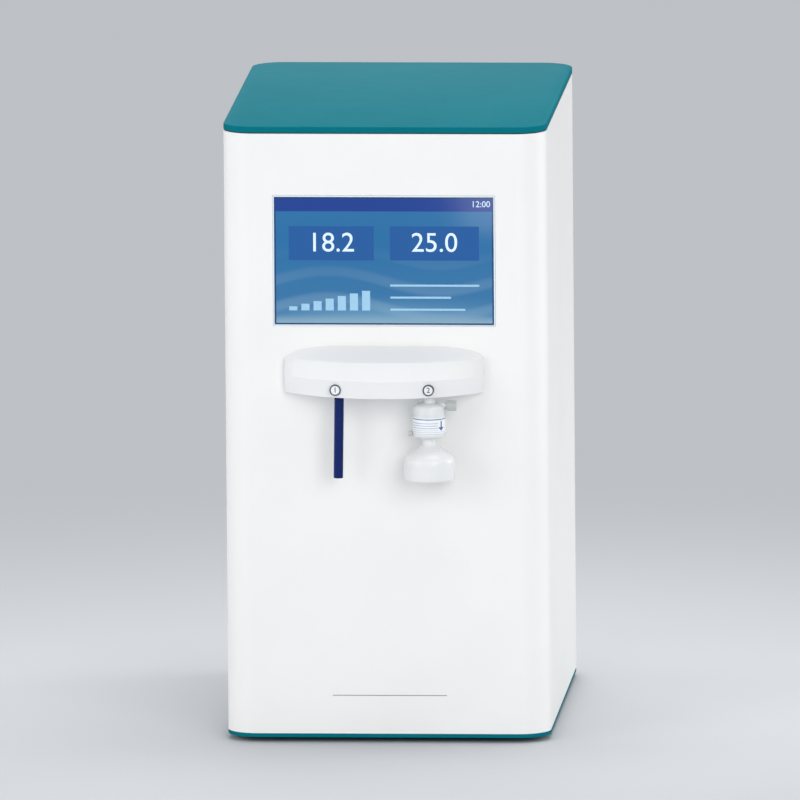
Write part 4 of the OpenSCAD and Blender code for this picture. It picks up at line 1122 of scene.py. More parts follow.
@dataclass
class Cabinet:
    """The base, the panels, the lid and what holds them.

    Attributes:
        half_w: Half the width.
        front: Its front face.
        rear: Its rear face.
        corner: Radius of the upright corners.
        base_z: Underside of the base plate.
        base_t: Height of the base plate's edge.
        lid_z: Underside of the lid.
        lid_t: Height of the lid's edge.
        line_z: Height of the thin line on the front.
        line_x: Its two ends.
    """

    half_w: float = 160.0
    front: float = -203.6
    rear: float = 236.4
    corner: float = 31.0
    base_z: float = 5.0
    base_t: float = 4.0
    lid_z: float = 609.0
    lid_t: float = 6.0
    line_z: float = 47.0
    line_x: tuple[float, float] = (-54.0, 59.0)

    def build(self) -> None:
        """Makes the pieces of the cabinet."""
        base = self.slab(self.base_z, self.base_t, (0.5, 0.9), 4)
        base.piece("base_plate_piece", TEAL_LID, "teal", "base_plate", angle=40.0)
        self.lid()
        self.underline()
        build_all(
            Eased("front_fascia left_side_panel right_side_panel rear_panel", WHITE_PANEL,
                  "cabinet_white", 0.25),
            Eased("rubber_feet", BLACK_RUBBER, "foot_rubber", 0.8),
            Eased("lid_gasket", BLACK_RUBBER, "foot_rubber", 0.1, Body.LID),
            Eased("hinge_rear_leaves", HINGE_STEEL, "hinge_steel", 0.2),
            Eased("hinge_lid_leaves", HINGE_STEEL, "hinge_steel", 0.2, Body.LID),
            Eased("hinge_pins", HINGE_STEEL, "hinge_steel", 0.2),
            Eased("case_screws", SCREW_STEEL, "hinge_steel", 0.25),
            Eased("chassis_frame", FRAME_STEEL, "frame_metal", 0.8),
            Eased("cartridge_shelf", FRAME_STEEL, "frame_metal", 0.3),
        )

    def slab(self, low: float, height: float, edges: tuple[float, float], steps: int) -> Form:
        """Makes a flat plate in the cabinet's outline with round edges.

        Args:
            low: Its underside.
            height: Its height.
            edges: Radius of its lower and of its upper edge.
            steps: Facets round an edge.

        Returns:
            The plate as a form.
        """
        form = Form()
        outline = corner_outline(self.half_w, self.front, self.rear, self.corner)
        form.plate([(x, y, low) for x, y in outline], (0.0, 0.0, height))
        for level, size in zip((low, low + height), edges):
            rim = [e for e in form.bm.edges if all(abs(v.co.z - level) < 1e-3 for v in e.verts)]
            form.round_edges(rim, size, steps)
        return form

    def lid(self) -> None:
        """Makes the lid with its soft edges and the rim below it."""
        form = self.slab(self.lid_z, self.lid_t, (0.4, 1.2), 5)

        def rank(face: bmesh.types.BMFace) -> float:
            """Lowest for the large face below."""
            return face.calc_center_median().z - face.calc_area() * 1e-3

        under = min(form.bm.faces, key=rank)
        for wall, drop in ((4.0, 0.0), (0.0, -8.0), (2.5, 0.0), (0.0, 11.0)):
            if wall:
                bmesh.ops.inset_region(
                    form.bm, faces=[under], thickness=wall, use_even_offset=True,
                )
            if drop:
                pushed = bmesh.ops.extrude_face_region(form.bm, geom=[under])["geom"]
                bmesh.ops.delete(form.bm, geom=[under], context="FACES_ONLY")
                under = next(g for g in pushed if isinstance(g, bmesh.types.BMFace))
                bmesh.ops.translate(form.bm, vec=(0.0, 0.0, drop), verts=under.verts)
        form.piece("lid_panel", TEAL_LID, "teal", "lid", body=Body.LID, angle=40.0)

    def underline(self) -> None:
        """Makes the thin plain line near the foot of the front."""
        form = Form()
        left, right = self.line_x
        form.block((left, self.front - 0.06, self.line_z),
                   (right, self.front + 0.1, self.line_z + 0.7))
        form.flat_piece("front_line", LINE_GREY, "button_ring")


# ---- Display ----


SCREEN_MIDDLE = (0.0, 0.0, 0.4815)
SCREEN_HALF = (0.1083, 1.0, 0.0635)


def screen_picture_group() -> bpy.types.NodeTree:
    """Makes the picture of the display: a title bar over a sheet of soft waves.

    Returns:
        The group, which puts out a colour.
    """
    graph, given, result = new_group("screen_picture", {
        "Middle": (VECTOR, SCREEN_MIDDLE), "Half": (VECTOR, SCREEN_HALF),
    }, {"Colour": COLOUR})
    maths = graph.maths
    place = graph.node("TexCoord").outputs["Object"]
    moved = graph.node("VectorMath", {0: place, 1: given["Middle"]}, operation="SUBTRACT")
    halves = {0: moved.outputs[0], 1: given["Half"]}
    scaled = graph.node("VectorMath", halves, operation="DIVIDE").outputs[0]
    parts = graph.node("SeparateXYZ", {0: scaled})
    u, v = parts.outputs["X"], parts.outputs["Z"]
    lift = maths("MULTIPLY", maths("SINE", maths("MULTIPLY", u, 3.1)), 0.16)
    phase = maths("MULTIPLY", maths("ADD", v, lift), 15.0)
    low = graph.ramp(v, 0.35, -0.75)
    wave = maths("MULTIPLY", graph.ramp(maths("SINE", phase), -0.2, 1.0), low, 0.16)
    centre = maths("SUBTRACT", 1.0, maths("MULTIPLY", u, u, 0.7))
    glow = maths("MULTIPLY", graph.ramp(v, -0.5, -1.0), centre)
    side = graph.ramp(maths("ABSOLUTE", u), 0.984, 0.99)
    level = graph.ramp(maths("ABSOLUTE", v), 0.973, 0.982)
    main = graph.mix(low, rgb(44, 116, 172), rgb(52, 120, 172))
    for mask, colour in (
        (glow, rgb(112, 163, 198)), (wave, rgb(176, 206, 224)),
        (graph.ramp(v, -0.82, -0.98), rgb(138, 175, 200)),
        (graph.ramp(v, 0.772, 0.782), rgb(30, 66, 152)),
        (maths("MAXIMUM", side, level), rgb(26, 66, 116)),
    ):
        main = graph.mix(mask, main, colour)
    graph.link(result, {"Colour": main})
    return graph.tree


@dataclass(frozen=True)
class ScreenPicture(Finish):
    """The display's dark glass with its lit picture behind it.

    Attributes:
        strength: Strength of the picture's light.
    """

    strength: float = 0.92

    def finish_nodes(self, tree: Graph, shader: bpy.types.Node) -> None:
        """Lights the picture."""
        places = {"Middle": SCREEN_MIDDLE, "Half": SCREEN_HALF}
        picture = tree.node("Group", places, node_tree=screen_picture_group())
        tree.link(shader.inputs, {"Emission Color": picture.outputs["Colour"]})
        shader.inputs["Emission Strength"].default_value = self.strength


SCREEN_GLASS = ScreenPicture(
    "screen_glass", rgb(10, 16, 24), rgb(8, 12, 20), roughness=0.16, drift=0.2, marks=0.03,
    grain=0.0, specular=0.3,
)


@dataclass
class Display:
    """The wide colour display with its thin rim and its generic read-outs.

    Attributes:
        face_y: Front of the glass.
        half_w: Half the glass's width.
        low: Its lower edge.
        high: Its upper edge.
        thick: Thickness of the glass.
    """

    face_y: float = -203.6
    half_w: float = 108.3
    low: float = 418.0
    high: float = 545.0
    thick: float = 1.8

    def build(self) -> None:
        """Makes the glass, the rim, the read-outs and what is behind them."""
        form = Form()
        form.block((-self.half_w, self.face_y, self.low),
                   (self.half_w, self.face_y + self.thick, self.high), 0.25)
        form.piece("display_glass_piece", SCREEN_GLASS, "screen_glass", "display_glass")
        self.readouts()
        build_all(
            Eased("display_bezel", BEZEL_RIM, "bezel", 0.3),
            Eased("lcd_module", LCD_METAL, "lcd_can", 0.6),
            Eased("display_bracket", FRAME_STEEL, "frame_metal", 0.3),
        )

    def flat(self, name: str, boxes: Sequence[tuple[float, float, float, float]],
             finish: Finish) -> None:
        """Makes flat tiles or bars on the glass.

        Args:
            name: The piece's name.
            boxes: Left, right, low and high of each one.
            finish: Its finish.
        """
        form = Form()
        for left, right, low, high in boxes:
            form.block((left, self.face_y - 0.03, low), (right, self.face_y + 0.02, high))
        form.flat_piece(name, finish, "screen_glass")

    def readouts(self) -> None:
        """Makes the figures, the tiles and the level bars."""
        tiles = [(-94.0, -10.0, 482.0, 516.0), (6.0, 94.0, 482.0, 516.0)]
        self.flat("readout_tiles", tiles, TILE_BLUE)
        bars = [(-94.0 + 12 * k, -86.0 + 12 * k, 432.0, 436.0 + 2.6 * k) for k in range(7)]
        bars += [(6.0, 94.0, 456.0, 458.0), (6.0, 66.0, 444.0, 446.0), (6.0, 80.0, 432.0, 434.0)]
        self.flat("readout_bars", bars, BAR_PALE)
        figures = (("18.2", 19.0, -52.0, 499.0), ("25.0", 19.0, 50.0, 499.0),
                   ("12:00", 6.0, 96.0, 538.0))
        for number, (text, size, x, z) in enumerate(figures, 1):
            form = figure(text, size, (x, self.face_y - 0.05, z), 0.1)
            form.flat_piece(f"readout_figures_{number}", PALE_FIGURE, "screen_glass")


# ---- Dispense hood and its buttons ----


@dataclass
class DispenseHood:
    """The bowed hood over the outlets, cut out for the two button rings.

    Attributes:
        face_y: The cabinet's front face.
        low: Height of its lower edge.
        levels: Height, reach of its middle, half width and reach of its ends, section by section.
        drops: How far the inner side lies below the outer one at each level, in walls.
        wall: Thickness of its wall.
        button_x: Distance of the buttons from the middle.
        button_z: Height of the buttons.
        hole_r: Radius of the holes for the rings.
        steps: Facets along half a bow.
    """

    face_y: float = -203.6
    low: float = 351.7
    levels: tuple[tuple[float, float, float, float], ...] = (
        (0.0, 52.0, 98.0, 6.0), (16.8, 52.0, 99.5, 6.0), (33.3, 36.5, 98.0, 6.0),
        (38.0, 22.4, 92.5, 4.0), (41.2, 12.8, 85.0, 2.4), (43.4, 6.2, 73.0, 1.6),
        (44.8, 2.0, 57.5, 1.0),
    )
    drops: tuple[float, ...] = (0.0, 0.25, 0.5, 0.7, 0.8, 0.9, 1.0)
    wall: float = 2.5
    button_x: float = 46.0
    button_z: float = 359.4
    hole_r: float = 5.61
    steps: int = 26

    def bow(self, level: tuple[float, float, float, float]) -> list[Point]:
        """Gives one side of the hood's wall at a height, seen from above.

        Args:
            level: Height, reach of the middle, half width and reach of the ends.

        Returns:
            Its points, from the fascia round the front and back to the fascia.
        """
        height, out, half, end = level
        arc = ((out - end) ** 2 + half * half) / (2 * (out - end)) if out > end + 0.01 else 1e5
        points = [(-half, self.face_y, self.low + height)]
        for step in range(-self.steps, self.steps + 1):
            x = half * math.sin(math.pi / 2 * step / self.steps)
            reach = out - arc + math.sqrt(arc * arc - x * x)
            points.append((x, self.face_y - max(reach, 0.0), self.low + height))
        return points + [(half, self.face_y, self.low + height)]

    def section(self, number: int) -> list[Point]:
        """Gives the closed outline of the wall at one level.

        Args:
            number: The level.

        Returns:
            The outer side and then the inner side, with the hood open to the rear.
        """
        height, out, half, end = self.levels[number]
        drop = self.wall * self.drops[number]
        inner = (height - drop, max(out - self.wall, 0.0), half - self.wall,
                 max(end - self.wall, 0.0))
        return self.bow(self.levels[number]) + self.bow(inner)[::-1]

    def build(self) -> None:
        """Makes the hood and the plate below it."""
        form = Form()
        form.loft([self.section(number) for number in range(len(self.levels))])
        made = form.object("hood_shell")
        for x in (-self.button_x, self.button_x):
            self.drill(made, x)
        ease(made, 1.1, 18.0, 4)
        dress(made, WHITE_HOOD, Body.CABINET, "hood_white", "dispenser_hood")
        Eased("hood_underplate", WHITE_HOOD, "hood_white", 0.3).build()

    def drill(self, shell: bpy.types.Object, x: float) -> None:
        """Cuts the hole for one ring.

        Args:
            shell: The hood.
            x: Place of the hole.
        """
        form = Form()
        profile = [(0.0, 0.0), (self.hole_r, 0.0), (self.hole_r, 26.0), (0.0, 26.0)]
        form.lathe(profile, (x, self.face_y - 55.0, self.button_z), Axis.Y, 48)
        cutter = form.object("ring_cutter")
        cut = shell.modifiers.new("ring_hole", "BOOLEAN")
        cut.object = cutter
        cut.operation = "DIFFERENCE"
        cut.solver = "EXACT"
        mesh = evaluated_mesh(shell)
        shell.modifiers.clear()
        old, shell.data = shell.data, mesh
        bpy.data.meshes.remove(old)
        bpy.data.objects.remove(cutter)
        mesh.name = shell.name


@dataclass
class PushButtons:
    """The two dispense buttons in their rings, each with a plain figure.

    Attributes:
        places: The x of each button with its body, its node and its figure.
        face_y: Front of the rings and caps.
        height: Height of the buttons.
        ring_r: Outer radius of a ring.
        cap_r: Radius of a cap.
        clear: Gap between them.
        ring_l: Length of a ring.
        body_l: Length of a cap, up to its flange.
        flange: Radius and length of the flange.
        stem: Radius and length of the stem.
        spring_l: Room for a spring at rest.
        travel: How far a cap is pressed; not used.
        wire: Radius of the springs' wire.
        coil: Radius and number of the springs' turns.
        gap: Room between a spring and what it meets.
    """

    places: tuple[tuple[float, Body, str, str], ...] = (
        (-46.0, Body.BUTTON_LEFT, "button_1", "1"), (46.0, Body.BUTTON_RIGHT, "button_2", "2"),
    )
    face_y: float = -250.0
    height: float = 359.4
    ring_r: float = 5.61
    cap_r: float = 4.4
    clear: float = 0.06
    ring_l: float = 4.5
    body_l: float = 4.8
    flange: tuple[float, float] = (5.2, 1.2)
    stem: tuple[float, float] = (1.6, 0.7)
    spring_l: float = 2.5
    travel: float = 1.5
    wire: float = 0.22
    coil: tuple[float, float] = (2.6, 3.5)
    gap: float = 0.03

    def build(self) -> None:
        """Makes the rings, the caps and their figures."""
        rings = Form()
        hole, outer, soft = self.cap_r + self.clear, self.ring_r, 0.35
        flange_r, flange_l = self.flange
        stem_r, stem_l = self.stem
        flange_end = self.body_l + flange_l
        for x, body, node, text in self.places:
            centre = (x, self.face_y, self.height)
            rings.lathe([
                (hole, self.ring_l), (hole, soft), (hole + soft * 0.5, 0.06), (hole + soft, 0.0),
                (outer - soft, 0.0), (outer - soft * 0.4, 0.08), (outer, soft),
                (outer, self.ring_l),
            ], centre, Axis.Y, 64, closed=True)
            cap = Form()
            cap.lathe([
                (0.0, 0.25), (1.8, 0.23), (3.2, 0.14), (3.8, 0.02), (self.cap_r - 0.25, 0.06),
                (self.cap_r, 0.4), (self.cap_r, self.body_l), (flange_r, self.body_l),
                (flange_r, flange_end), (stem_r, flange_end), (stem_r, flange_end + stem_l),
                (0.0, flange_end + stem_l),
            ], centre, Axis.Y, 64)
            cap.piece(node + "_cap", CAP_WHITE, "button_cap", node, body=body, angle=40.0)
            mark = figure(text, 5.2, (x, self.face_y + 0.14, self.height), 0.16)
            mark.flat_piece(node + "_figure", FIGURE_GREY, "button_ring", body)
        rings.piece("button_ring_pair", RING_GREY, "button_ring", "button_rings", angle=40.0)
        Eased("button_switches", BLACK_PLASTIC, "black_plastic", 0.2).build()
        for x, _, node, _ in self.places:
            self.spring(x, node)

    def spring(self, x: float, node: str) -> None:
        """Makes the wound spring behind a cap.

        Args:
            x: The button's place.
            node: The button's node.
        """
        steps, wire = 60, self.wire
        radius, turns = self.coil
        start = self.face_y + self.body_l + self.flange[1] + self.gap + wire
        length = self.spring_l - 2 * (wire + self.gap)
        path = []
        for step in range(steps + 1):
            turn, y = math.tau * turns * step / steps, start + length * step / steps
            path.append(Vector((
                x + radius * math.cos(turn), y, self.height + radius * math.sin(turn),
            )))
        form = Form()
        form.ring_tube(path, [wire] * len(path), 8)
        made = form.object(node + "_spring")
        made.data.shade_smooth()
        dress(made, SPRING_STEEL, Body.CABINET, "spring_steel", "button_springs")
        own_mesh(made)


# ---- Capsule filter ----


def label_group() -> bpy.types.NodeTree:
    """Makes the label's print: an edge line, faint rulings and a plain arrow.

    Returns:
        The group, which puts out a colour.
    """
    graph, given, result = new_group("label_print", {
        "Centre": (VECTOR, (0.0, 0.0, 0.0)), "Paper": (COLOUR, (0.9, 0.9, 0.9, 1.0)),
        "Ink": (COLOUR, (0.1, 0.2, 0.4, 1.0)),
    }, {"Colour": COLOUR})
    maths = graph.maths
    place = graph.node("TexCoord").outputs["Object"]
    moved = graph.node("VectorMath", {0: place, 1: given["Centre"]}, operation="SUBTRACT")
    parts = graph.node("SeparateXYZ", {0: moved.outputs[0]}).outputs
    turn = maths("ARCTAN2", parts["X"], maths("MULTIPLY", parts["Y"], -1.0))
    height = maths("MULTIPLY", parts["Z"], 1000.0)

    def band(value: Socket, low: float, high: float) -> Socket:
        """1 between two values, 0 outside."""
        above, below = maths("GREATER_THAN", value, low), maths("LESS_THAN", value, high)
        return maths("MULTIPLY", above, below)

    top = band(height, 13.6, 14.5)
    foot = maths("MULTIPLY", band(height, 1.2, 1.6), 0.5)
    rows = maths("GREATER_THAN", maths("SINE", maths("MULTIPLY", height, math.tau / 2.4)), 0.45)
    rulings = maths("MULTIPLY", rows, band(height, 3.0, 11.6), band(turn, -1.35, 0.62), 0.45)
    shaft = maths("MULTIPLY", band(turn, 0.84, 0.95), band(height, 5.6, 12.2))
    width = maths("MULTIPLY", maths("SUBTRACT", height, 2.4), 0.062)
    reach = maths("ABSOLUTE", maths("SUBTRACT", turn, 0.895))
    head = maths("MULTIPLY", maths("LESS_THAN", reach, width), band(height, 2.4, 6.2))
    ink = maths("MAXIMUM", top, foot, rulings, shaft, head)
    graph.link(result, {"Colour": graph.mix(ink, given["Paper"], given["Ink"])})
    return graph.tree


@dataclass(frozen=True)
class LabelPrint(Finish):
    """Paper with the label's plain print.

    Attributes:
        centre: The middle of the capsule at the label's lower edge, in metres.
        ink: Colour of the print.
    """

    centre: Point = (0.0, 0.0, 0.0)
    ink: Colour = rgb(52, 96, 150)

    def colour_socket(self, tree: Graph, group: bpy.types.Node) -> Socket:
        """Prints on the surface's colour."""
        inputs = {
            "Centre": self.centre, "Ink": (*self.ink, 1.0), "Paper": group.outputs["Colour"],
        }
        return tree.node("Group", inputs, node_tree=label_group()).outputs["Colour"]


@dataclass
class CapsuleFilter:
    """The capsule filter under the right button, with its bell and its vent valve.

    Attributes:
        centre: The capsule's axis.
        neck_top: Top of its neck, inside the hood.
        body_top: Top of its straight part.
        body_low: Foot of that part.
        flange_low: Foot of its base.
        skirt_top: Shoulder of the bell.
        skirt_low: Foot of the bell.
        radius: Radius of the capsule.
        neck_r: Radius of its neck.
        wall: Thickness of its wall.
        vent_z: Height of its vent.
        label_h: Height of its label.
    """

    centre: tuple[float, float] = (45.4, -231.1)
    neck_top: float = 363.7
    body_top: float = 340.6
    body_low: float = 315.6
    flange_low: float = 310.6
    skirt_top: float = 292.6
    skirt_low: float = 268.6
    radius: float = 15.8
    neck_r: float = 6.0
    wall: float = 1.8
    vent_z: float = 341.6
    label_h: float = 15.6

    def turned(self, profile: Sequence[tuple[float, float]], name: str, finish: Finish,
               node: str) -> None:
        """Makes a piece that is turned on the capsule's axis.

        Args:
            profile: Radius and height, point by point, round its section.
            name: Its name.
            finish: Its finish.
            node: The node that it stands for.
        """
        form = Form()
        form.lathe(profile, (*self.centre, 0.0), Axis.Z, 96, closed=True)
        form.piece(name, finish, "capsule_clear", node, angle=50.0)

    def build(self) -> None:
        """Makes the pieces of the capsule."""
        self.housing()
        base, low = self.flange_low, self.body_low
        self.turned([
            (3.2, low), (3.2, base - 10), (4.7, base - 10), (4.7, base + 0.1), (11.5, base),
            (14.0, base + 0.2), (15.4, base + 1.0), (16.0, base + 2.2), (16.2, base + 3.4),
            (16.0, low - 0.5), (15.6, low - 0.02),
        ], "capsule_base_cap", CAPSULE_CLEAR, "capsule_base")
        self.bell()
        self.label()
        build_all(
            Eased("capsule_nut hose_fitting", FITTING_WHITE, "fitting_white", 0.3),
            Eased("capsule_membrane", MEMBRANE_WHITE, "membrane", 0.3),
            Eased("drain_plug", KNOB_GREY, "knob_grey", 0.35),
            Eased("vent_knob", KNOB_GREY, "knob_grey", 0.25, Body.VENT),
        )

    def housing(self) -> None:
        """Makes the capsule with its round shoulder and its vent boss."""
        top, low, r, n, w = self.body_top, self.body_low, self.radius, self.neck_r, self.wall
        form = Form()
        form.lathe([
            (r - w, low), (r - 0.3, low), (r, low + 0.3), (r, low + 15.8), (r, low + 16.4),
            (r, top - 1.2), (r - 0.35, top + 0.3), (r - 1.3, top + 1.5), (r - 3.0, top + 2.6),
            (r - 5.5, top + 3.4), (n + 1.2, top + 3.9), (n + 0.35, top + 4.2), (n, top + 5.0),
            (n, self.neck_top), (n - w, self.neck_top), (n - w, top + 1.0),
            (r - w - 2.0, top - 0.6), (r - w, top - 2.0),
        ], (*self.centre, 0.0), Axis.Z, 96, closed=True)
        form.lathe([
            (1.65, 0.0), (3.4, 0.0), (3.4, 6.9), (3.2, 7.7), (2.7, 8.0), (1.65, 8.0),
        ], (self.centre[0] + 9.0, self.centre[1], self.vent_z), Axis.X, 48, closed=True)
        form.piece("capsule_shell", CAPSULE_CLEAR, "capsule_clear", "capsule_housing", angle=50.0)

    def bell(self) -> None:
        """Makes the bell with its flowing shoulder."""
        top, high, low, wall = self.flange_low, self.skirt_top, self.skirt_low, 1.6
        outer = [
            (6.4, top), (6.4, high + 12.5), (6.7, high + 11.2), (7.8, high + 9.8),
            (10.2, high + 8.0), (13.6, high + 5.7), (17.2, high + 3.5), (20.4, high + 1.3),
            (23.0, high - 1.0), (24.6, high - 3.2), (25.2, high - 5.6), (25.3, high - 9.0),
            (25.1, low + 3.0), (24.9, low + 0.6), (24.6, low + 0.05),
        ]
        inner = [(23.6, low + 0.05), (23.4, low + 0.8)]
        for r, h in reversed(outer[1:-2]):
            inner.append((max(r - wall, 4.8), h - (1.2 if r > 7 and h > high - 6 else 0.0)))
        self.turned(outer + inner + [(4.8, top)], "capsule_bell_shell", BELL_CLEAR,
                    "capsule_bell")

    def label(self) -> None:
        """Makes the label that is wrapped round the capsule."""
        form = Form()
        loops = []
        steps = 56
        foot = Vector((*self.centre, 0.0))
        low, high = (Vector((0, 0, self.body_low + h)) for h in (0.0, self.label_h))
        for step in range(steps + 1):
            turn = math.radians(150.0 + 230.0 * step / steps)
            way = Vector((math.cos(turn), math.sin(turn), 0.0))
            near, far = foot + way * self.radius, foot + way * (self.radius + 0.3)
            loops.append([near + low, far + low, far + high, near + high])
        form.loft(loops)
        centre = (self.centre[0] * MM, self.centre[1] * MM, self.body_low * MM)
        paper = LabelPrint("label_paper", rgb(238, 242, 246), rgb(230, 235, 240),
                           roughness=0.45, grain=0.003, centre=centre)
        form.piece("capsule_label_wrap", paper, "label_paper", "capsule_label", angle=40.0)


# ---- Rear fittings ----


@dataclass
class RearFittings:
    """The fan, the mains inlet, the switch and the water ports.

    Attributes:
        rocker_x: Place of the rocker's pin across the back.
        rocker_z: Its height.
        rocker_y: Its depth.
        tilt: How far the rocker leans at rest, in degrees.
        ports_x: Places of the water ports.
        panel_y: The rear panel's face.
        figure_z: Height of the numbers over the ports.
    """

    rocker_x: float = 60.0
    rocker_z: float = 60.0
    rocker_y: float = 232.4
    tilt: float = 9.0
    ports_x: tuple[float, ...] = (-120.0, -88.0, -56.0)
    panel_y: float = 236.4
    figure_z: float = 82.0

    def build(self) -> None:
        """Makes the rear fittings."""
        build_all(
            Eased("fan_frame", BLACK_PLASTIC, "black_plastic", 0.5),
            Eased("fan_rotor", BLACK_PLASTIC, "black_plastic", 0.3, Body.ROTOR),
            Eased("fan_guard", SPRING_STEEL, "spring_steel", 0.3, angle=60.0),
            Eased("power_inlet switch_frame", BLACK_PLASTIC, "black_plastic", 0.4),
            Eased("power_rocker", ROCKER_RED, "rocker_red", 0.4, Body.ROCKER),
            Eased("water_ports", FITTING_WHITE, "fitting_white", 0.4),
            Eased("port_collets", COLLET_BLUE, "collet_blue", 0.3),
        )
        self.rocker_marks()
        self.port_figures()

    def rocker_marks(self) -> None:
        """Makes the plain bar and ring on the two halves of the rocker."""
        form = Form()
        dish, away, rise = 22.0, 30.0, 5.5
        lean = math.asin(rise / dish)
        out = away - math.sqrt(dish * dish - rise * rise)
        tilt = Matrix.Rotation(math.radians(self.tilt), 4, "X")
        place = Matrix.Translation((self.rocker_x, self.rocker_y, self.rocker_z)) @ tilt
        bar = form.block((-0.35, -0.1, -1.5), (0.35, 0.08, 1.5))
        form.lathe([(0.95, -0.1), (1.5, -0.1), (1.5, 0.08), (0.95, 0.08)],
                   (0.0, 0.0, 0.0), Axis.Y, 32, closed=True)
        ring = [v for v in form.bm.verts if v not in bar]
        for side, mark in ((1, bar), (-1, ring)):
            move = Matrix.Translation((0.0, out, side * rise))
            move = place @ move @ Matrix.Rotation(side * lean, 4, "X")
            bmesh.ops.transform(form.bm, matrix=move, verts=mark)
        form.flat_piece("rocker_marks", CAP_WHITE, "button_cap", Body.ROCKER)

    def port_figures(self) -> None:
        """Makes the plain numbers over the water ports."""
        about = Matrix.Rotation(math.pi, 3, "Z")
        for number, x in enumerate(self.ports_x, 1):
            form = figure(str(number), 7.0, (0.0, 0.0, 0.0), 0.2)
            verts = form.bm.verts
            bmesh.ops.rotate(form.bm, cent=(0, 0, 0), matrix=about, verts=verts)
            place = (x, self.panel_y + 0.02, self.figure_z)
            bmesh.ops.translate(form.bm, vec=place, verts=verts)
            form.flat_piece(f"port_figure_{number}", FIGURE_GREY, "button_ring")


# ---- Insides ----


@dataclass
class FilterTrim:
    """The grips on the filter heads and the plain colour bands on the filters.

    Attributes:
        foot: Height of the shelf that the filters stand on.
        head_h: Height of a head.
        head_out: How far a head stands out from its filter.
        filters: Place, radius and height of each filter, with its band.
    """

    foot: float = 175.0
    head_h: float = 18.0
    head_out: float = 2.0
    filters: tuple[tuple[float, float, float, float, str], ...] = (
        (-98.0, 134.32, 32.0, 290.0, "blue"), (-98.0, 58.42, 32.0, 290.0, "dark"),
        (-98.0, -21.616, 38.0, 330.0, "teal"),
        (0.0, 108.36, 45.0, 350.0, "blue"), (0.0, 4.388, 45.0, 350.0, "teal"),
    )

    def build(self) -> None:
        """Makes the grips and the bands."""
        grips = Form()
        bands = {
            "blue": (Form(), COLLET_BLUE, "collet_blue"),
            "dark": (Form(), VALVE_DARK, "valve_dark"),
            "teal": (Form(), TEAL_LID, "teal"),
        }
        for x, y, radius, height, band in self.filters:
            top, round_head = self.foot + height, radius + self.head_out
            grips.grips((x, y, top - self.head_h + 2.5), round_head + 0.3,
                        (1.4, 1.6, self.head_h - 5.5), int(round_head * 1.1))
            for below, length in ((108.0, 42.0), (114.0, 2.0)):
                bands[band][0].sleeve((x, y, top - below), radius, length, 0.3)
        grips.piece("head_grips", VALVE_DARK, "valve_dark", edge=0.3)
        for name, (form, finish, slot) in bands.items():
            form.piece(f"filter_bands_{name}", finish, slot)


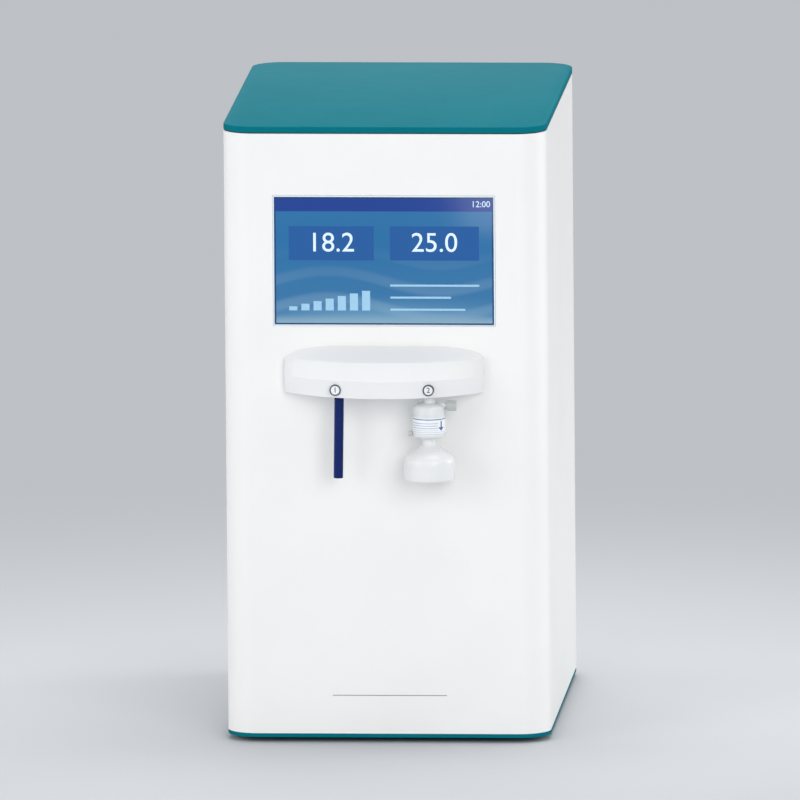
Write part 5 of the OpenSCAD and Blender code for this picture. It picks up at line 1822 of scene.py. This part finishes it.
@dataclass
class BoardParts:
    """The chips, connectors and capacitors that stand on the control board.

    Attributes:
        back: The board's rear face.
        middle: Height of its middle.
        chips: Place, size and height of each chip and its pins on a side.
        sockets: Place, size and height of each connector.
        relay: Place, size and height of the relay.
        cans: Place, radius and height of each capacitor.
        chip_rows: Number of small chips, how many stand in a row and their steps.
    """

    back: float = -179.0
    middle: float = 481.5
    chips: tuple[tuple[float, float, float, float, float, int], ...] = (
        (-50.0, 20.0, 24.0, 24.0, 3.0, 9), (10.0, 25.0, 16.0, 16.0, 2.0, 6),
    )
    sockets: tuple[tuple[float, float, float, float, float], ...] = (
        (-10.0, -25.0, 30.0, 14.0, 10.0), (60.0, 30.0, 22.0, 12.0, 9.0),
        (-60.0, -30.0, 20.0, 12.0, 9.0),
    )
    relay: tuple[float, float, float, float, float] = (50.0, -20.0, 18.0, 26.0, 14.0)
    cans: tuple[tuple[float, float, float, float], ...] = (
        (-22.0, 24.0, 3.2, 8.0), (-14.0, 36.0, 3.2, 8.0), (28.0, -8.0, 4.0, 10.0),
        (22.0, -36.0, 3.2, 8.0), (-36.0, -10.0, 4.0, 10.0), (-74.0, 6.0, 2.6, 7.0),
        (76.0, 2.0, 2.6, 7.0),
    )
    chip_rows: tuple[int, int, float, float] = (16, 8, 7.0, 5.0)

    def cover(self, form: Form, x: float, z: float, wide: float, tall: float, deep: float,
              edge: float) -> None:
        """Adds a body that stands on the board.

        Args:
            form: The form that it goes into.
            x: Its middle.
            z: Its height from the board's middle.
            wide: Its width.
            tall: Its height.
            deep: How far it stands out.
            edge: Radius of its edges.
        """
        more = 0.15
        side, rise, level = wide / 2 + more, tall / 2 + more, self.middle + z
        low = (x - wide / 2 - more, self.back + 0.02, level - tall / 2 - more)
        form.block(low, (x + side, self.back + deep + more, level + rise), edge)

    def build(self) -> None:
        """Makes the parts on the board."""
        bodies, pins, sockets, cans = Form(), Form(), Form(), Form()
        for x, z, wide, tall, deep, count in self.chips:
            self.cover(bodies, x, z, wide, tall, deep, 0.3)
            for k in range(count):
                step = (k - (count - 1) / 2) * wide / (count + 0.5)
                for side in (-1, 1):
                    out = side * (wide / 2 + 0.9)
                    self.cover(pins, x + out, z + step, 1.2, 0.5, 0.6, 0.0)
                    self.cover(pins, x + step, z + out, 0.5, 1.2, 0.6, 0.0)
        total, row, across, down = self.chip_rows
        for k in range(total):
            place = (-28.0 + across * (k % row), 4.0 - down * (k // row))
            self.cover(bodies, *place, 2.4, 1.2, 0.7, 0.0)
        self.cover(bodies, *self.relay, 0.8)
        for socket in self.sockets:
            self.cover(sockets, *socket, 0.5)
        for x, z, radius, deep in self.cans:
            cans.lathe([
                (0.0, 0.02), (radius, 0.02), (radius, 1.2), (radius - 0.3, 1.5), (radius, 1.8),
                (radius, deep - 0.5), (radius - 0.5, deep), (0.0, deep),
            ], (x, self.back, self.middle + z), Axis.Y, 32)
        bodies.piece("board_chips", BLACK_PLASTIC, "black_plastic")
        pins.piece("chip_pins", SPRING_STEEL, "spring_steel")
        sockets.piece("board_sockets", FITTING_WHITE, "fitting_white")
        cans.piece("board_capacitors", LCD_METAL, "lcd_can")


@dataclass
class Insides:
    """The filters, the pumps, the boards and the tubes in the cabinet.

    Attributes:
        pump_x: Middle of both pumps.
        motors: First end, height, radius and length of each motor's ribs, and how many there are.
        head_face: Front of the booster pump's head.
        valves_y: Places of the valves.
        supply_end: Front end of the power supply.
    """

    pump_x: float = -84.0
    motors: tuple[tuple[float, float, float, float, int], ...] = (
        (38.0, 50.0, 38.0, 88.0, 10), (-116.0, 42.0, 30.0, 54.0, 7),
    )
    head_face: float = -15.6
    valves_y: tuple[float, ...] = (-6.6, 24.4, 55.4)
    supply_end: float = -68.6

    def build(self) -> None:
        """Dresses the inner parts."""
        build_all(
            Eased("booster_pump", MOTOR_DARK, "motor_dark", 0.8),
            Eased("booster_pump_head recirculation_pump", MOTOR_METAL, "motor_alu", 0.8),
            Eased("power_supply", FRAME_STEEL, "frame_metal", 0.6),
            Eased("control_board", BOARD_GREEN, "pcb_green", 0.2),
            Eased("board_standoffs", BRASS, "brass_post", 0.2),
            Eased("prefilters ro_vessel polishing_packs", CARTRIDGE_WHITE, "cartridge_white", 1.2),
            Eased("filter_heads", VALVE_DARK, "valve_dark", 0.8),
            Eased("uv_housing", UV_STEEL, "uv_steel", 0.8),
            Eased("uv_lamp", LAMP_GLASS, "lamp_glass", 0.4),
            Eased("valve_manifold", FITTING_WHITE, "fitting_white", 0.8),
            Eased("solenoid_valves", VALVE_DARK, "valve_dark", 0.6),
            Eased("resistivity_cell", UV_STEEL, "uv_steel", 0.5),
            Eased("internal_tubes", TUBE_CLEAR, "tube_clear", 0.0, angle=60.0),
            Eased("wiring_loom", WIRE_DARK, "wire_dark", 0.0, angle=70.0),
            FilterTrim(),
            BoardParts(),
        )
        self.motor_ribs()
        self.bolts_and_tabs()

    def motor_ribs(self) -> None:
        """Makes the cooling ribs of the two pump motors."""
        form = Form()
        for start, height, radius, length, count in self.motors:
            for k in range(count):
                centre = (self.pump_x, start + k * length / count, height)
                form.sleeve(centre, radius, 2.2, 1.2, Axis.Y)
        form.piece("motor_ribs", MOTOR_DARK, "motor_dark", edge=0.2)

    def bolts_and_tabs(self) -> None:
        """Makes the pump head's bolts, the valves' tabs and the supply's terminals."""
        bright, strip = Form(), Form()

        def bolt(x: float, y: float, z: float, profile: Sequence, steps: int) -> None:
            """A bolt that faces the front."""
            bright.lathe(profile, (x, y, z), Axis.Y, steps)

        pump_bolt = [(0.0, 0.0), (4.0, 0.0), (4.0, -2.2), (3.4, -2.8), (0.0, -2.8)]
        for x in (-30.0, 30.0):
            for z in (20.0, 80.0):
                bolt(self.pump_x + x, self.head_face, z, pump_bolt, 6)
        for y in self.valves_y:
            for side in (-4.0, 4.0):
                bright.block((108.9, y + side - 0.4, 216.0), (114.5, y + side + 0.4, 222.0))
        face = self.supply_end - 8.0
        strip.block((40.0, face, 14.0), (100.0, self.supply_end + 0.05, 27.0), 0.6)
        clamp = [(0.0, 0.1), (2.8, 0.1), (2.8, -0.5), (2.4, -0.8), (0.0, -0.8)]
        for k in range(6):
            bolt(45.0 + 10.0 * k, face, 20.5, clamp, 24)
        bright.piece("bolts_and_tabs", SCREW_STEEL, "spring_steel")
        strip.piece("terminal_strip", BLACK_PLASTIC, "black_plastic")


def main() -> None:
    """Builds the studio and every sub-assembly, one after the other."""
    logging.basicConfig(level=logging.INFO, format="%(name)s: %(message)s")
    build_all(
        Studio(), OutletHose(), Cabinet(), Display(), DispenseHood(), PushButtons(),
        CapsuleFilter(), RearFittings(), Insides(),
    )


if __name__ == "__main__":
    main()
